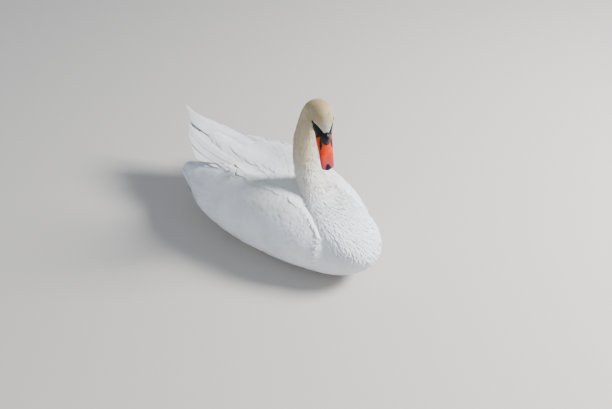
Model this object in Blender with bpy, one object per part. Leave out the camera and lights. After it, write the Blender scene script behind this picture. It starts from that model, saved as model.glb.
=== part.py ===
"""A mute swan at rest on its belly, life size, as a still display model.

Metres, +Z up. The bird faces -Y, its left side is +X, and it rests on the plane Z = 0.
The trunk, neck and head are one lofted form, parted by thin cuts. The wings, flight
feathers, tail, bill, knob, eyes, legs and feet are solids of their own around it.
"""

import math

import bmesh
import bpy
import numpy as np

# ---- driving sizes -------------------------------------------------------------------
GAP = 0.0004  # clearance between pieces that meet

# The long form from the root of the tail to the top of the neck, as stations. Each has
# its point on the back line (y, z), its point on the belly line (y, z), its half width,
# how much narrower it is above its middle than below it, and how much fuller it is low down.
BODY = (
    ((0.268, 0.156), (0.272, 0.118), 0.060, 0.10, 0.00),  # root of the tail
    ((0.205, 0.166), (0.190, 0.052), 0.110, 0.14, 0.05),  # rump
    ((0.115, 0.186), (0.100, -0.004), 0.139, 0.05, 0.20),  # loin
    ((0.020, 0.200), (0.005, -0.014), 0.143, 0.02, 0.20),  # middle of the back
    ((-0.038, 0.203), (-0.080, -0.012), 0.134, 0.04, 0.15),  # shoulders
    ((-0.056, 0.205), (-0.164, -0.002), 0.118, 0.06, 0.08),  # over the front of the belly
    ((-0.062, 0.207), (-0.240, 0.020), 0.103, 0.08, 0.00),
    ((-0.064, 0.2095), (-0.292, 0.064), 0.090, 0.10, 0.00),
    ((-0.0645, 0.2125), (-0.307, 0.114), 0.077, 0.12, 0.00),  # front of the breast
    ((-0.064, 0.216), (-0.280, 0.154), 0.064, 0.10, 0.00),
    ((-0.0625, 0.2205), (-0.222, 0.186), 0.051, 0.06, 0.00),
    ((-0.060, 0.227), (-0.162, 0.209), 0.042, 0.02, 0.00),  # foot of the neck
    ((-0.055, 0.238), (-0.126, 0.236), 0.036, 0.00, 0.00),
    ((-0.048, 0.258), (-0.109, 0.266), 0.0320, 0.00, 0.00),
    ((-0.0415, 0.290), (-0.1005, 0.300), 0.0290, 0.00, 0.00),
    ((-0.0405, 0.330), (-0.0965, 0.338), 0.0270, 0.00, 0.00),  # middle of the neck
    ((-0.0440, 0.368), (-0.0990, 0.372), 0.0262, 0.00, 0.00),
    ((-0.0495, 0.402), (-0.1010, 0.395), 0.0258, 0.00, 0.00),  # top of the neck
    ((-0.0555, 0.431), (-0.1010, 0.412), 0.0262, 0.00, 0.00),
)
# The head in its own frame: distances forward of the eyes and above them.
HEAD = (
    ((-0.0500, -0.0380), (-0.0120, -0.0410), 0.0266, 0.00, 0.00),  # nape
    ((-0.0465, -0.0130), (-0.0090, -0.0375), 0.0272, 0.02, 0.00),  # back of the head
    ((-0.0340, 0.0130), (-0.0055, -0.0345), 0.0278, 0.06, 0.00),
    ((-0.0130, 0.0255), (-0.0010, -0.0320), 0.0276, 0.12, 0.00),  # crown
    ((0.0060, 0.0250), (0.0060, -0.0312), 0.0262, 0.16, 0.00),  # eyes
    ((0.0220, 0.0180), (0.0180, -0.0306), 0.0226, 0.14, 0.00),  # forehead
    ((0.0370, 0.0090), (0.0320, -0.0302), 0.0176, 0.08, 0.00),  # root of the bill
)
EYES_Y, EYES_Z = -0.1365, 0.4435  # the point midway between the eyes, before the head turns
EYES_APART = 0.0430
EYE_RADIUS = 0.0058
PITCH = math.radians(54.0)  # how far the bill points below level
TURN = math.radians(-29.0)  # how far the head turns, to the bird's right
TURN_AXIS = -0.118  # y of the upright line that the head turns about
TURN_FROM, TURN_TO = 15.0, 20.0  # the stations between which the turn comes in
TRUNK_TO, NECK_PARTED_AT, HEAD_FROM = 12.0, 15.4, 19.0  # the stations of the thin cuts
AROUND = 28  # points round a section of the long form

# The bill, in the head's frame: distance forward, height of its top and of its bottom,
# and half width.
BILL_UPPER = (
    (0.0240, 0.0080, -0.0240, 0.0168),
    (0.0420, 0.0060, -0.0240, 0.0166),
    (0.0580, 0.0005, -0.0232, 0.0156),
    (0.0760, -0.0060, -0.0218, 0.0149),
    (0.0930, -0.0110, -0.0210, 0.0151),
    (0.1055, -0.0145, -0.0216, 0.0142),
    (0.1135, -0.0165, -0.0225, 0.0106),
    (0.1165, -0.0185, -0.0230, 0.0060),
)
BILL_LOWER = (
    (0.0240, -0.0245, -0.0302, 0.0132),
    (0.0600, -0.0238, -0.0298, 0.0138),
    (0.0900, -0.0217, -0.0270, 0.0139),
    (0.1045, -0.0221, -0.0262, 0.0110),
    (0.1105, -0.0232, -0.0262, 0.0060),
)
KNOB_AT, KNOB_SIZE = (0.0405, 0.0075), (0.0152, 0.0102, 0.0112)
NAIL_AT, NAIL_SIZE = (0.1100, -0.0195), (0.0095, 0.0068, 0.0068)

# A wing, as stations along y: distance aside and height of the axis of its arch, its
# spread and its rise from that axis, and the angles from upright of its upper and lower
# edges, where less than nothing leans inward.
WING = (
    (-0.220, 0.020, 0.104, 0.074, 0.062, 50.0, 106.0),  # wrist
    (-0.165, 0.020, 0.106, 0.102, 0.092, 27.0, 120.0),
    (-0.080, 0.020, 0.109, 0.124, 0.113, 15.0, 129.0),
    (0.000, 0.025, 0.106, 0.131, 0.118, 16.0, 131.0),
    (0.100, 0.035, 0.103, 0.128, 0.102, 12.0, 130.0),
    (0.190, 0.055, 0.104, 0.098, 0.070, 6.0, 122.0),
    (0.255, 0.074, 0.112, 0.054, 0.038, 4.0, 116.0),
    (0.295, 0.088, 0.119, 0.024, 0.017, 0.0, 110.0),  # blunt rear end
)
WING_EDGE = 0.026  # how far the wing's edge takes to round down
WING_DIP = 0.008  # how far its edge sinks below its surface
WING_THICK, BLADE_THICK = 0.030, 0.006  # over the trunk, and behind it
THIN_FROM, THIN_TO = 0.6, 0.9  # where it thins, as shares of the way from the wrist back
WING_LONG, WING_ROUND = 0.50, 0.30  # its lengths along y and round its arch, for its edges

# The folded primaries and the tail, as blades along y: x, height of the middle, half
# width, and thickness.
PRIMARIES_LEFT = (
    (0.100, 0.0260, 0.173, 0.0240, 0.012),
    (0.160, 0.0285, 0.180, 0.0300, 0.011),
    (0.220, 0.0285, 0.183, 0.0325, 0.009),
    (0.280, 0.0220, 0.189, 0.0315, 0.007),
    (0.320, 0.0130, 0.199, 0.0290, 0.006),
    (0.365, 0.0045, 0.213, 0.0210, 0.005),
    (0.390, 0.0055, 0.221, 0.0110, 0.004),
    (0.408, 0.0085, 0.228, 0.0030, 0.002),
)
PRIMARIES_RIGHT = (
    (0.100, -0.0300, 0.171, 0.0240, 0.012),
    (0.180, -0.0370, 0.178, 0.0310, 0.010),
    (0.250, -0.0390, 0.181, 0.0325, 0.008),
    (0.310, -0.0385, 0.195, 0.0225, 0.006),
    (0.333, -0.0345, 0.204, 0.0125, 0.004),
    (0.350, -0.0305, 0.212, 0.0030, 0.002),
)
TAIL = (
    (0.240, 0.000, 0.142, 0.052, 0.014),
    (0.275, 0.000, 0.147, 0.058, 0.012),
    (0.310, 0.000, 0.164, 0.050, 0.008),
    (0.350, 0.000, 0.180, 0.030, 0.005),
    (0.376, 0.000, 0.192, 0.006, 0.002),
)

# A shank, lying along the ground: the centre line x, y, z, and the radius.
LEG = (
    (0.056, 0.130, 0.0090, 0.0050),
    (0.057, 0.122, 0.0075, 0.0095),  # heel
    (0.058, 0.100, 0.0065, 0.0095),
    (0.060, 0.070, 0.0055, 0.0080),
    (0.061, 0.040, 0.0055, 0.0080),
    (0.062, 0.010, 0.0055, 0.0085),  # root of the toes
)
# A foot, its toes drawn together: y, x, height of its middle, half width, and thickness.
FOOT = (
    (-0.100, 0.058, 0.0030, 0.018, 0.0070),
    (-0.086, 0.058, 0.0038, 0.025, 0.0085),
    (-0.045, 0.059, 0.0048, 0.023, 0.0105),
    (-0.010, 0.061, 0.0062, 0.014, 0.0135),
    (0.008, 0.062, 0.0070, 0.009, 0.0150),
)

# Finishes: colour and roughness.
WHITE_PLUMAGE = (0.80, 0.80, 0.78), 0.8
BUFF_PLUMAGE = (0.74, 0.66, 0.52), 0.8
ORANGE_BILL = (0.80, 0.17, 0.03), 0.4
BLACK_SKIN = (0.012, 0.012, 0.012), 0.4
GREY_SKIN = (0.045, 0.045, 0.048), 0.6
WET_EYE = (0.030, 0.015, 0.008), 0.05


def smooth(low, high, value):
    """0 below low, 1 above high, and an S curve between: t * t * (3 - 2 t)."""
    t = np.clip((value - low) / (high - low), 0.0, 1.0)
    return t * t * (3.0 - 2.0 * t)


def spline(knots, values, at):
    """The natural cubic spline through values at knots, read at the places `at`."""
    knots, values, at = (np.asarray(a, float) for a in (knots, values, at))
    step = np.diff(knots)[:, None]
    slope = np.diff(values, axis=0) / step
    size = len(knots)
    system, right = np.eye(size), np.zeros_like(values)
    for i in range(1, size - 1):
        system[i, i - 1 : i + 2] = step[i - 1, 0], 2 * (step[i - 1, 0] + step[i, 0]), step[i, 0]
        right[i] = 6 * (slope[i] - slope[i - 1])
    bend = np.linalg.solve(system, right)
    i = np.clip(np.searchsorted(knots, at) - 1, 0, size - 2)
    t = (at - knots[i])[:, None]
    start = slope[i] - step[i] * (2 * bend[i] + bend[i + 1]) / 6
    return values[i] + t * (start + t * (bend[i] / 2 + t * (bend[i + 1] - bend[i]) / (6 * step[i])))


def in_head(forward, up, aside=0.0):
    """A point of the head's own frame, in the bird's frame before the head turns."""
    y = EYES_Y - forward * math.cos(PITCH) - up * math.sin(PITCH)
    z = EYES_Z - forward * math.sin(PITCH) + up * math.cos(PITCH)
    return np.stack([aside + 0 * y, y, z], axis=-1)


def turned(points, share=1.0):
    """Points turned with the head about its upright axis, by a share of the turn."""
    angle = TURN * np.asarray(share)
    x, y = points[..., 0], points[..., 1] - TURN_AXIS
    turned_x = x * np.cos(angle) - y * np.sin(angle)
    turned_y = x * np.sin(angle) + y * np.cos(angle) + TURN_AXIS
    return np.stack([turned_x, turned_y, points[..., 2]], axis=-1)


def station_table():
    """All stations as rows: back y, z, belly y, z, half width, narrowing, fullness."""
    rows = [(*back, *belly, *shape) for back, belly, *shape in BODY]
    rows += [(*in_head(*back)[1:], *in_head(*belly)[1:], *shape) for back, belly, *shape in HEAD]
    return np.array(rows)


def body_rings(at, around=AROUND):
    """Sections of the long form at the station numbers `at`, as points (ring, around, 3).

    P = middle + cos(a) * (back - belly) / 2 + X * width * sin(a) * swell, pressed flat at
    the ground and turned with the head, where swell is 1 - narrow * cos(a), and more by
    full * cos(a) ** 2 in the lower half.
    """
    table = station_table()
    row = spline(np.arange(len(table)), table, at)
    a = np.linspace(0.0, 2.0 * math.pi, around, endpoint=False)[None, :]
    back, belly = row[:, None, 0:2], row[:, None, 2:4]
    swell = 1.0 - row[:, 5:6] * np.cos(a) + row[:, 6:7] * np.minimum(np.cos(a), 0.0) ** 2
    x = row[:, 4:5] * np.sin(a) * swell
    yz = (back + belly) / 2 + np.cos(a)[..., None] * (back - belly) / 2
    points = np.stack([x, yz[..., 0], np.maximum(yz[..., 1], 0.0)], axis=-1)
    return turned(points, smooth(TURN_FROM, TURN_TO, np.asarray(at))[:, None])


def parted(rings):
    """Rings whose first and last are drawn in by half the gap, square to their planes."""
    rings = rings.copy()
    quarter = rings.shape[1] // 4
    for end, inner in ((0, 1), (-1, -2)):
        across = rings[end, quarter] - rings[end, 0], rings[end, 2 * quarter] - rings[end, 0]
        square = np.cross(*across)
        square /= np.linalg.norm(square)
        inward = rings[inner].mean(axis=0) - rings[end].mean(axis=0)
        rings[end] += square * np.sign(square @ inward) * GAP / 2
    return rings


def ball_rings(at, size, count, around):
    """Sections of an ellipsoid in the head's frame, at (forward, up, aside)."""
    b = np.linspace(0.0, math.pi, count + 2)[1:-1, None]
    a = np.linspace(0.0, 2.0 * math.pi, around, endpoint=False)[None, :]
    forward = at[0] + size[0] * np.cos(b) + 0 * a
    aside = at[2] + size[1] * np.sin(b) * np.cos(a)
    up = at[1] + size[2] * np.sin(b) * np.sin(a)
    return turned(in_head(forward, up, aside))


def bill_rings(stations, count, around=18, square=0.75):
    """Sections of a half of the bill: flattened ovals between its top and its bottom."""
    table = np.array(stations)
    f = np.linspace(table[0, 0], table[-1, 0], count)
    row = spline(table[:, 0], table[:, 1:], f)
    a = np.linspace(0.0, 2.0 * math.pi, around, endpoint=False)[None, :]
    wide = np.sign(np.sin(a)) * np.abs(np.sin(a)) ** square
    tall = np.sign(np.cos(a)) * np.abs(np.cos(a)) ** square
    up = (row[:, 0:1] + row[:, 1:2]) / 2 + tall * (row[:, 0:1] - row[:, 1:2]) / 2
    return turned(in_head(f[:, None] + 0 * a, up, row[:, 2:3] * wide))


def wing_rings(side, count=17, across=11):
    """Sections of a folded wing along y: its outer arch one way, its inner arch back.

    At angle p from upright, P = (aside + spread * sin(p), y, axis + rise * cos(p)), less a
    dip that rounds the edges down and, for the inner arch, less the thickness.
    """
    table = np.array(WING)
    s = np.linspace(0.0, 1.0, count)[:, None]
    y = table[0, 0] + s * (table[-1, 0] - table[0, 0])
    row = spline(table[:, 0], table[:, 1:], y[:, 0])
    aside, axis, spread, rise, top, low = (row[:, i : i + 1] for i in range(6))
    q = np.linspace(0.0, 1.0, across)[None, :]
    p = np.radians(top + q * (low - top))
    inset = np.minimum(np.minimum(q, 1 - q) * WING_ROUND, np.minimum(s, 1 - s) * WING_LONG)
    dip = WING_DIP * (1 - np.sqrt(1 - (1 - np.clip(inset / WING_EDGE, 0, 1)) ** 2))
    thick = BLADE_THICK + (WING_THICK - BLADE_THICK) * (1 - smooth(THIN_FROM, THIN_TO, s))
    arches = []
    for sink in (dip, dip + thick):
        x, z = aside + (spread - sink) * np.sin(p), axis + (rise - sink) * np.cos(p)
        arches.append(np.stack([side * x, y + 0 * p, z], axis=-1))
    return np.concatenate([arches[0], arches[1][:, ::-1]], axis=1)


def blade_rings(stations, count, side=1, around=12):
    """Sections of a flat blade along y: lens shapes, level across, none below the ground."""
    table = np.array(stations)
    y = np.linspace(table[0, 0], table[-1, 0], count)
    row = spline(table[:, 0], table[:, 1:], y)
    a = np.linspace(0.0, 2.0 * math.pi, around, endpoint=False)[None, :]
    x = row[:, 0:1] + row[:, 2:3] * np.cos(a)
    z = row[:, 1:2] + row[:, 3:4] / 2 * np.sin(a)
    return np.stack([side * x, y[:, None] + 0 * a, np.maximum(z, 0.0)], axis=-1)


def tube_rings(path, side, count, around=10):
    """Round sections square to a path that runs mostly along y, none below the ground."""
    table = np.array(path)
    row = spline(np.arange(len(table)), table, np.linspace(0, len(table) - 1, count))
    along = np.gradient(row[:, :3], axis=0)
    upward = np.cross(along, (1.0, 0.0, 0.0))
    upward /= np.linalg.norm(upward, axis=1, keepdims=True)
    a = np.linspace(0.0, 2.0 * math.pi, around, endpoint=False)[None, :, None]
    rim = np.cos(a) * np.array((1.0, 0.0, 0.0)) + np.sin(a) * upward[:, None]
    points = row[:, None, :3] + row[:, None, 3:4] * rim
    points[..., 2] = np.maximum(points[..., 2], 0.0)
    return points * np.array((side, 1.0, 1.0))


def loft(name, rings, finish):
    """One closed body through rings of points (ring, around, 3), with its own material."""
    form = bmesh.new()
    verts = [[form.verts.new(point) for point in ring] for ring in rings]
    count = len(verts[0])
    for one, two in zip(verts, verts[1:]):
        for i in range(count):
            j = (i + 1) % count
            form.faces.new((one[i], one[j], two[j], two[i]))
    form.faces.new(verts[0])
    form.faces.new(verts[-1])
    bmesh.ops.recalc_face_normals(form, faces=form.faces)
    bmesh.ops.triangulate(form, faces=form.faces)
    mesh = bpy.data.meshes.new(name)
    form.to_mesh(mesh)
    form.free()
    mesh.shade_smooth()
    material = bpy.data.materials.new(name)
    material.use_nodes = True
    shader = material.node_tree.nodes["Principled BSDF"]
    colour, roughness = finish
    shader.inputs["Base Color"].default_value = (*colour, 1.0)
    shader.inputs["Roughness"].default_value = roughness
    mesh.materials.append(material)
    return bpy.data.objects.new(name, mesh)


def cut(part, others, cutters):
    """Takes the space of other parts, swollen by the gap, out of a part."""
    for other in others:
        name = other.name + "_cutter"
        cutter = cutters.objects.get(name)
        if cutter is None:
            cutter = bpy.data.objects.new(name, other.data)
            swell = cutter.modifiers.new("gap", "DISPLACE")
            swell.strength, swell.mid_level = GAP, 0.0
            cutter.hide_render, cutter.display_type = True, "WIRE"
            cutters.objects.link(cutter)
        hollow = part.modifiers.new(other.name, "BOOLEAN")
        hollow.operation, hollow.object = "DIFFERENCE", cutter


def centred(parts):
    """Moves everything along y so that the middle of its box is over the origin."""
    graph = bpy.context.evaluated_depsgraph_get()
    reach = [v.co.y for part in parts.objects for v in part.evaluated_get(graph).data.vertices]
    shift = -(min(reach) + max(reach)) / 2
    for thing in bpy.data.objects:
        thing.location.y = shift


def main():
    for old in list(bpy.data.objects):
        bpy.data.objects.remove(old)
    parts = bpy.data.collections.new("Mute swan")
    cutters = bpy.data.collections.new("Cutters")
    for collection in (parts, cutters):
        bpy.context.scene.collection.children.link(collection)

    def add(name, rings, finish=WHITE_PLUMAGE, less=()):
        part = loft(name, rings, finish)
        parts.objects.link(part)
        cut(part, [parts.objects[other] for other in less], cutters)

    def along(first, last, count):
        return parted(body_rings(np.linspace(first, last, count)))

    bill_root = len(BODY) + len(HEAD) - 1.0
    for side, hand in ((1, "left"), (-1, "right")):
        middle = (0.0, 0.0, side * EYES_APART / 2)
        add("eye_" + hand, ball_rings(middle, (EYE_RADIUS,) * 3, count=5, around=10), WET_EYE)
        add("leg_" + hand, tube_rings(LEG, side, count=12), GREY_SKIN)
        add("foot_" + hand, blade_rings(FOOT, count=8, side=side), GREY_SKIN, ("leg_" + hand,))
    add("trunk", along(0.0, TRUNK_TO, count=27), less=("leg_left", "leg_right", "foot_left", "foot_right"))
    add("neck_lower", along(TRUNK_TO, NECK_PARTED_AT, count=8))
    add("neck_upper", along(NECK_PARTED_AT, HEAD_FROM, count=8), BUFF_PLUMAGE)
    add("head", along(HEAD_FROM, bill_root, count=12), BUFF_PLUMAGE, ("eye_left", "eye_right"))
    nail = ball_rings((*NAIL_AT, 0.0), NAIL_SIZE, count=5, around=12)
    knob = ball_rings((*KNOB_AT, 0.0), KNOB_SIZE, count=8, around=14)
    add("bill_nail", nail, BLACK_SKIN)
    add("bill_upper", bill_rings(BILL_UPPER, count=12), ORANGE_BILL, ("head", "bill_nail"))
    add("bill_lower", bill_rings(BILL_LOWER, count=9), BLACK_SKIN, ("head", "bill_nail", "bill_upper"))
    add("bill_knob", knob, BLACK_SKIN, ("head", "bill_upper"))
    for side, hand in ((1, "left"), (-1, "right")):
        add("wing_" + hand, wing_rings(side), less=("trunk",))
    add("primaries_left", blade_rings(PRIMARIES_LEFT, count=11), less=("trunk", "wing_left"))
    add("primaries_right", blade_rings(PRIMARIES_RIGHT, count=10), less=("trunk", "wing_right"))
    add("tail", blade_rings(TAIL, count=9), less=("trunk",))
    centred(parts)


main()
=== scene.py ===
"""A mute swan at rest on its belly: skin, coat, flight feathers, bill, eyes and feet.

Metres, +Z up. The bird faces -Y and its left side is +X. Every surface is a function of
two parameters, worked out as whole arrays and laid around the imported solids.
"""

import math

import bpy
import numpy as np
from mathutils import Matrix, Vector
from mathutils.kdtree import KDTree


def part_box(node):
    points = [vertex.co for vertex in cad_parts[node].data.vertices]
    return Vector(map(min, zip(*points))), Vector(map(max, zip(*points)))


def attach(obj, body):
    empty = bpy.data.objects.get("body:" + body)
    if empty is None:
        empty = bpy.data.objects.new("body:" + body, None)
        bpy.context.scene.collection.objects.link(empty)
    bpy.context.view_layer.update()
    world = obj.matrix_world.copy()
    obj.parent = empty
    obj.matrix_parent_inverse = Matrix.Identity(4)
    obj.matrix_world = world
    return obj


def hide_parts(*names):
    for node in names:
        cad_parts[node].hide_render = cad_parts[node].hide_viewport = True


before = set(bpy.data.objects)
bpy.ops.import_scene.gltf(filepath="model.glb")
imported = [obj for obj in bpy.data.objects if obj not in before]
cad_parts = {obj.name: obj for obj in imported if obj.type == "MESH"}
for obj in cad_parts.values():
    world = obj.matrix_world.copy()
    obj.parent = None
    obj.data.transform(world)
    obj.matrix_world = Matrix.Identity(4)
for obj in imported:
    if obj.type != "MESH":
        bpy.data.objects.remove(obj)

# ---- Floor, light and view -----------------------------------------------------------
# A plain pale floor under soft studio light: a broad lamp high on the bird's left front,
# a weak broad one on its right, and an even sky. The camera looks down at the bird's
# right front from close by.
FLOOR_HALF = 6.0
FLOOR_COLOUR = (0.52, 0.49, 0.46)
VIEW_AZIMUTH, VIEW_ELEVATION = math.radians(-47.0), math.radians(42.0)
VIEW_FROM = (-1.0069, -1.0634, 1.3826)
LENS, SENSOR = 42.0, 36.0
LIT_AT = Vector((0.0, -0.05, 0.15))
LAMPS = (  # name, direction towards it, distance, size, power
    ("key", (0.52, -0.60, 0.66), 3.0, 0.9, 265.0),
    ("fill", (-0.75, -0.30, 0.60), 3.0, 2.5, 24.0),
)
SKY_COLOUR, SKY_STRENGTH = (0.74, 0.85, 1.0), 0.50

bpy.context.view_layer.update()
floor_mesh = bpy.data.meshes.new("floor")
corners = [(x * FLOOR_HALF, y * FLOOR_HALF, 0.0) for x, y in ((-1, -1), (1, -1), (1, 1), (-1, 1))]
floor_mesh.from_pydata(corners, [], [(0, 1, 2, 3)])
floor = bpy.data.objects.new("floor", floor_mesh)
bpy.context.scene.collection.objects.link(floor)
floor_finish = bpy.data.materials.new("floor_finish")
floor_finish.use_nodes = True
floor_shader = floor_finish.node_tree.nodes["Principled BSDF"]
floor_shader.inputs["Base Color"].default_value = (*FLOOR_COLOUR, 1.0)
floor_shader.inputs["Roughness"].default_value = 0.9
floor_mesh.materials.append(floor_finish)

for name, towards, distance, size, power in LAMPS:
    towards = Vector(towards).normalized()
    lamp = bpy.data.lights.new(name, "AREA")
    lamp.size, lamp.energy = size, power
    lamp_object = bpy.data.objects.new(name, lamp)
    lamp_object.location = LIT_AT + towards * distance
    lamp_object.rotation_euler = (-towards).to_track_quat("-Z", "Y").to_euler()
    bpy.context.scene.collection.objects.link(lamp_object)

sky = bpy.data.worlds.new("sky")
sky.use_nodes = True
sky.node_tree.nodes["Background"].inputs["Color"].default_value = (*SKY_COLOUR, 1.0)
sky.node_tree.nodes["Background"].inputs["Strength"].default_value = SKY_STRENGTH
bpy.context.scene.world = sky

lens = bpy.data.cameras.new("view")
lens.lens, lens.sensor_width = LENS, SENSOR
camera = bpy.data.objects.new("view", lens)
level = math.cos(VIEW_ELEVATION)
backward = Vector((math.sin(VIEW_AZIMUTH) * level, -math.cos(VIEW_AZIMUTH) * level, math.sin(VIEW_ELEVATION)))
camera.location = VIEW_FROM
camera.rotation_euler = (-backward).to_track_quat("-Z", "Y").to_euler()
bpy.context.scene.collection.objects.link(camera)
bpy.context.scene.camera = camera

# ---- Skin ----------------------------------------------------------------------------
# The bird's skin under its coat: one closed surface from the root of the tail along the
# trunk and neck to the bill, with the folded wings lying on it. Soft skin, white under
# the feathers, bare and black between the eyes and the bill.

# Stations: back line (y, z), belly line (y, z), half width, narrowing above, fullness below.
BODY = (
    ((0.268, 0.156), (0.272, 0.118), 0.060, 0.10, 0.00),  # root of the tail
    ((0.205, 0.166), (0.190, 0.052), 0.110, 0.14, 0.05),  # rump
    ((0.115, 0.186), (0.100, -0.004), 0.139, 0.05, 0.20),  # loin
    ((0.020, 0.200), (0.005, -0.014), 0.143, 0.02, 0.20),  # middle of the back
    ((-0.038, 0.203), (-0.080, -0.012), 0.134, 0.04, 0.15),  # shoulders
    ((-0.056, 0.205), (-0.164, -0.002), 0.118, 0.06, 0.08),  # over the front of the belly
    ((-0.062, 0.207), (-0.240, 0.020), 0.103, 0.08, 0.00),
    ((-0.064, 0.2095), (-0.292, 0.064), 0.090, 0.10, 0.00),
    ((-0.0645, 0.2125), (-0.307, 0.114), 0.077, 0.12, 0.00),  # front of the breast
    ((-0.064, 0.216), (-0.280, 0.154), 0.064, 0.10, 0.00),
    ((-0.0625, 0.2205), (-0.222, 0.186), 0.051, 0.06, 0.00),
    ((-0.060, 0.227), (-0.162, 0.209), 0.042, 0.02, 0.00),  # foot of the neck
    ((-0.055, 0.238), (-0.126, 0.236), 0.036, 0.00, 0.00),
    ((-0.048, 0.258), (-0.109, 0.266), 0.0320, 0.00, 0.00),
    ((-0.0415, 0.290), (-0.1005, 0.300), 0.0290, 0.00, 0.00),
    ((-0.0405, 0.330), (-0.0965, 0.338), 0.0270, 0.00, 0.00),  # middle of the neck
    ((-0.0440, 0.368), (-0.0990, 0.372), 0.0262, 0.00, 0.00),
    ((-0.0495, 0.402), (-0.1010, 0.395), 0.0258, 0.00, 0.00),  # top of the neck
    ((-0.0555, 0.431), (-0.1010, 0.412), 0.0262, 0.00, 0.00),
)
# The head, forward of the eyes and above them.
HEAD = (
    ((-0.0500, -0.0380), (-0.0120, -0.0410), 0.0266, 0.00, 0.00),  # nape
    ((-0.0465, -0.0130), (-0.0090, -0.0375), 0.0272, 0.02, 0.00),  # back of the head
    ((-0.0340, 0.0130), (-0.0055, -0.0345), 0.0278, 0.06, 0.00),
    ((-0.0130, 0.0255), (-0.0010, -0.0320), 0.0276, 0.12, 0.00),  # crown
    ((0.0060, 0.0250), (0.0060, -0.0312), 0.0262, 0.16, 0.00),  # eyes
    ((0.0220, 0.0180), (0.0180, -0.0306), 0.0226, 0.14, 0.00),  # forehead
    ((0.0370, 0.0090), (0.0320, -0.0302), 0.0176, 0.08, 0.00),  # root of the bill
)
EYES_Y, EYES_Z = -0.1365, 0.4435  # the point midway between the eyes, before the head turns
EYES_APART, EYE_RADIUS = 0.0430, 0.0058
PITCH, TURN, TURN_AXIS = math.radians(54.0), math.radians(-29.0), -0.118
TURN_FROM, TURN_TO = 15.0, 20.0
BILL_ROOT = len(BODY) + len(HEAD) - 1.0  # the last station
# How deep the skin lies under the coat's surface, from the tail to the bill.
DEPTH_AT = (0.0, 6.0, 11.0, 14.0, 17.0, 20.0, 25.0)
DEPTHS = (0.005, 0.005, 0.004, 0.003, 0.0024, 0.0016, 0.0008)
EYE_DIP, EYE_DIP_WIDE = 0.0010, 0.009  # the skin dips round each eye
EYE_RIM, EYE_RIM_AT, EYE_RIM_WIDE = 0.0007, 0.0068, 0.0014  # and rises in a rim beside it
ROUND, TRUNK_RINGS, HEAD_RINGS = 144, 150, 90
HEAD_FROM = 18.0  # the station from which the rings lie closer


def smooth(low, high, value):
    """0 below low, 1 above high, and t * t * (3 - 2 t) between."""
    t = np.clip((value - low) / (high - low), 0.0, 1.0)
    return t * t * (3.0 - 2.0 * t)


def spline(knots, values):
    """The natural cubic spline through rows of values at knots, as a function of the place."""
    knots, values = np.asarray(knots, float), np.asarray(values, float)
    step = np.diff(knots)[:, None]
    slope = np.diff(values, axis=0) / step
    size = len(knots)
    system, right = np.eye(size), np.zeros_like(values)
    for i in range(1, size - 1):
        system[i, i - 1 : i + 2] = step[i - 1, 0], 2 * (step[i - 1, 0] + step[i, 0]), step[i, 0]
        right[i] = 6 * (slope[i] - slope[i - 1])
    bend = np.linalg.solve(system, right)

    def read(at):
        i = np.clip(np.searchsorted(knots, at) - 1, 0, size - 2)
        t = (at - knots[i])[..., None]
        start = slope[i] - step[i] * (2 * bend[i] + bend[i + 1]) / 6
        return values[i] + t * (start + t * (bend[i] / 2 + t * (bend[i + 1] - bend[i]) / (6 * step[i])))

    return read


def in_head(forward, up, aside=0.0):
    """A point of the head's frame, before the head turns and the bird is centred."""
    y = EYES_Y - forward * math.cos(PITCH) - up * math.sin(PITCH)
    z = EYES_Z - forward * math.sin(PITCH) + up * math.cos(PITCH)
    return np.stack(np.broadcast_arrays(aside, y, z), axis=-1)


def turned(points, share=1.0):
    """Points turned about the head's upright axis by a share of the head's turn."""
    angle = TURN * np.asarray(share)
    x, y = points[..., 0], points[..., 1] - TURN_AXIS
    turned_x = x * np.cos(angle) - y * np.sin(angle)
    turned_y = x * np.sin(angle) + y * np.cos(angle) + TURN_AXIS
    return np.stack([turned_x, turned_y, points[..., 2]], axis=-1)


eye_box = np.array([list(corner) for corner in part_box("eye_left")])
eye_place = turned(in_head(0.0, 0.0, EYES_APART / 2))
CENTRING = np.array([0.0, eye_box[:, 1].mean() - eye_place[1], 0.0])


def on_head(forward, up, aside=0.0):
    """A point of the head's frame, where it lies in the finished bird."""
    return turned(in_head(forward, up, aside)) + CENTRING


rows = [(*back, *belly, *shape) for back, belly, *shape in BODY]
rows += [(*in_head(*back)[1:], *in_head(*belly)[1:], *shape) for back, belly, *shape in HEAD]
read_station = spline(np.arange(len(rows)), rows)


def form(at, a):
    """The body's outer form at station `at` and angle `a` from its back line.

    P = middle + cos(a) * (back - belly) / 2 + X * width * sin(a) * swell, no lower than the
    ground, turned with the head; swell = 1 - narrow * cos(a) + full * min(cos(a), 0) ** 2.
    """
    at, a = np.broadcast_arrays(np.asarray(at, float), np.asarray(a, float))
    row = read_station(at)
    back, belly = row[..., 0:2], row[..., 2:4]
    swell = 1.0 - row[..., 5] * np.cos(a) + row[..., 6] * np.minimum(np.cos(a), 0.0) ** 2
    yz = (back + belly) / 2 + np.cos(a)[..., None] * (back - belly) / 2
    x = row[..., 4] * np.sin(a) * swell
    points = np.stack([x, yz[..., 0], np.maximum(yz[..., 1], 0.0)], axis=-1)
    return turned(points, smooth(TURN_FROM, TURN_TO, at)) + CENTRING


def unit(vectors):
    """Vectors divided by their own length."""
    return vectors / np.maximum(np.linalg.norm(vectors, axis=-1, keepdims=True), 1e-12)


def compass(surface, u, v, step_u, step_v):
    """A surface's point, outward normal and unit tangent towards falling u, by differences."""
    along = (surface(u + step_u, v) - surface(u - step_u, v)) / (2 * step_u)
    across = (surface(u, v + step_v) - surface(u, v - step_v)) / (2 * step_v)
    return surface(u, v), unit(np.cross(along, across)), -unit(along)


def on_form(at, a):
    """Point, outward normal and tangent towards the tail of the body's form."""
    return compass(form, at, a, 0.004, 0.004)


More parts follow.
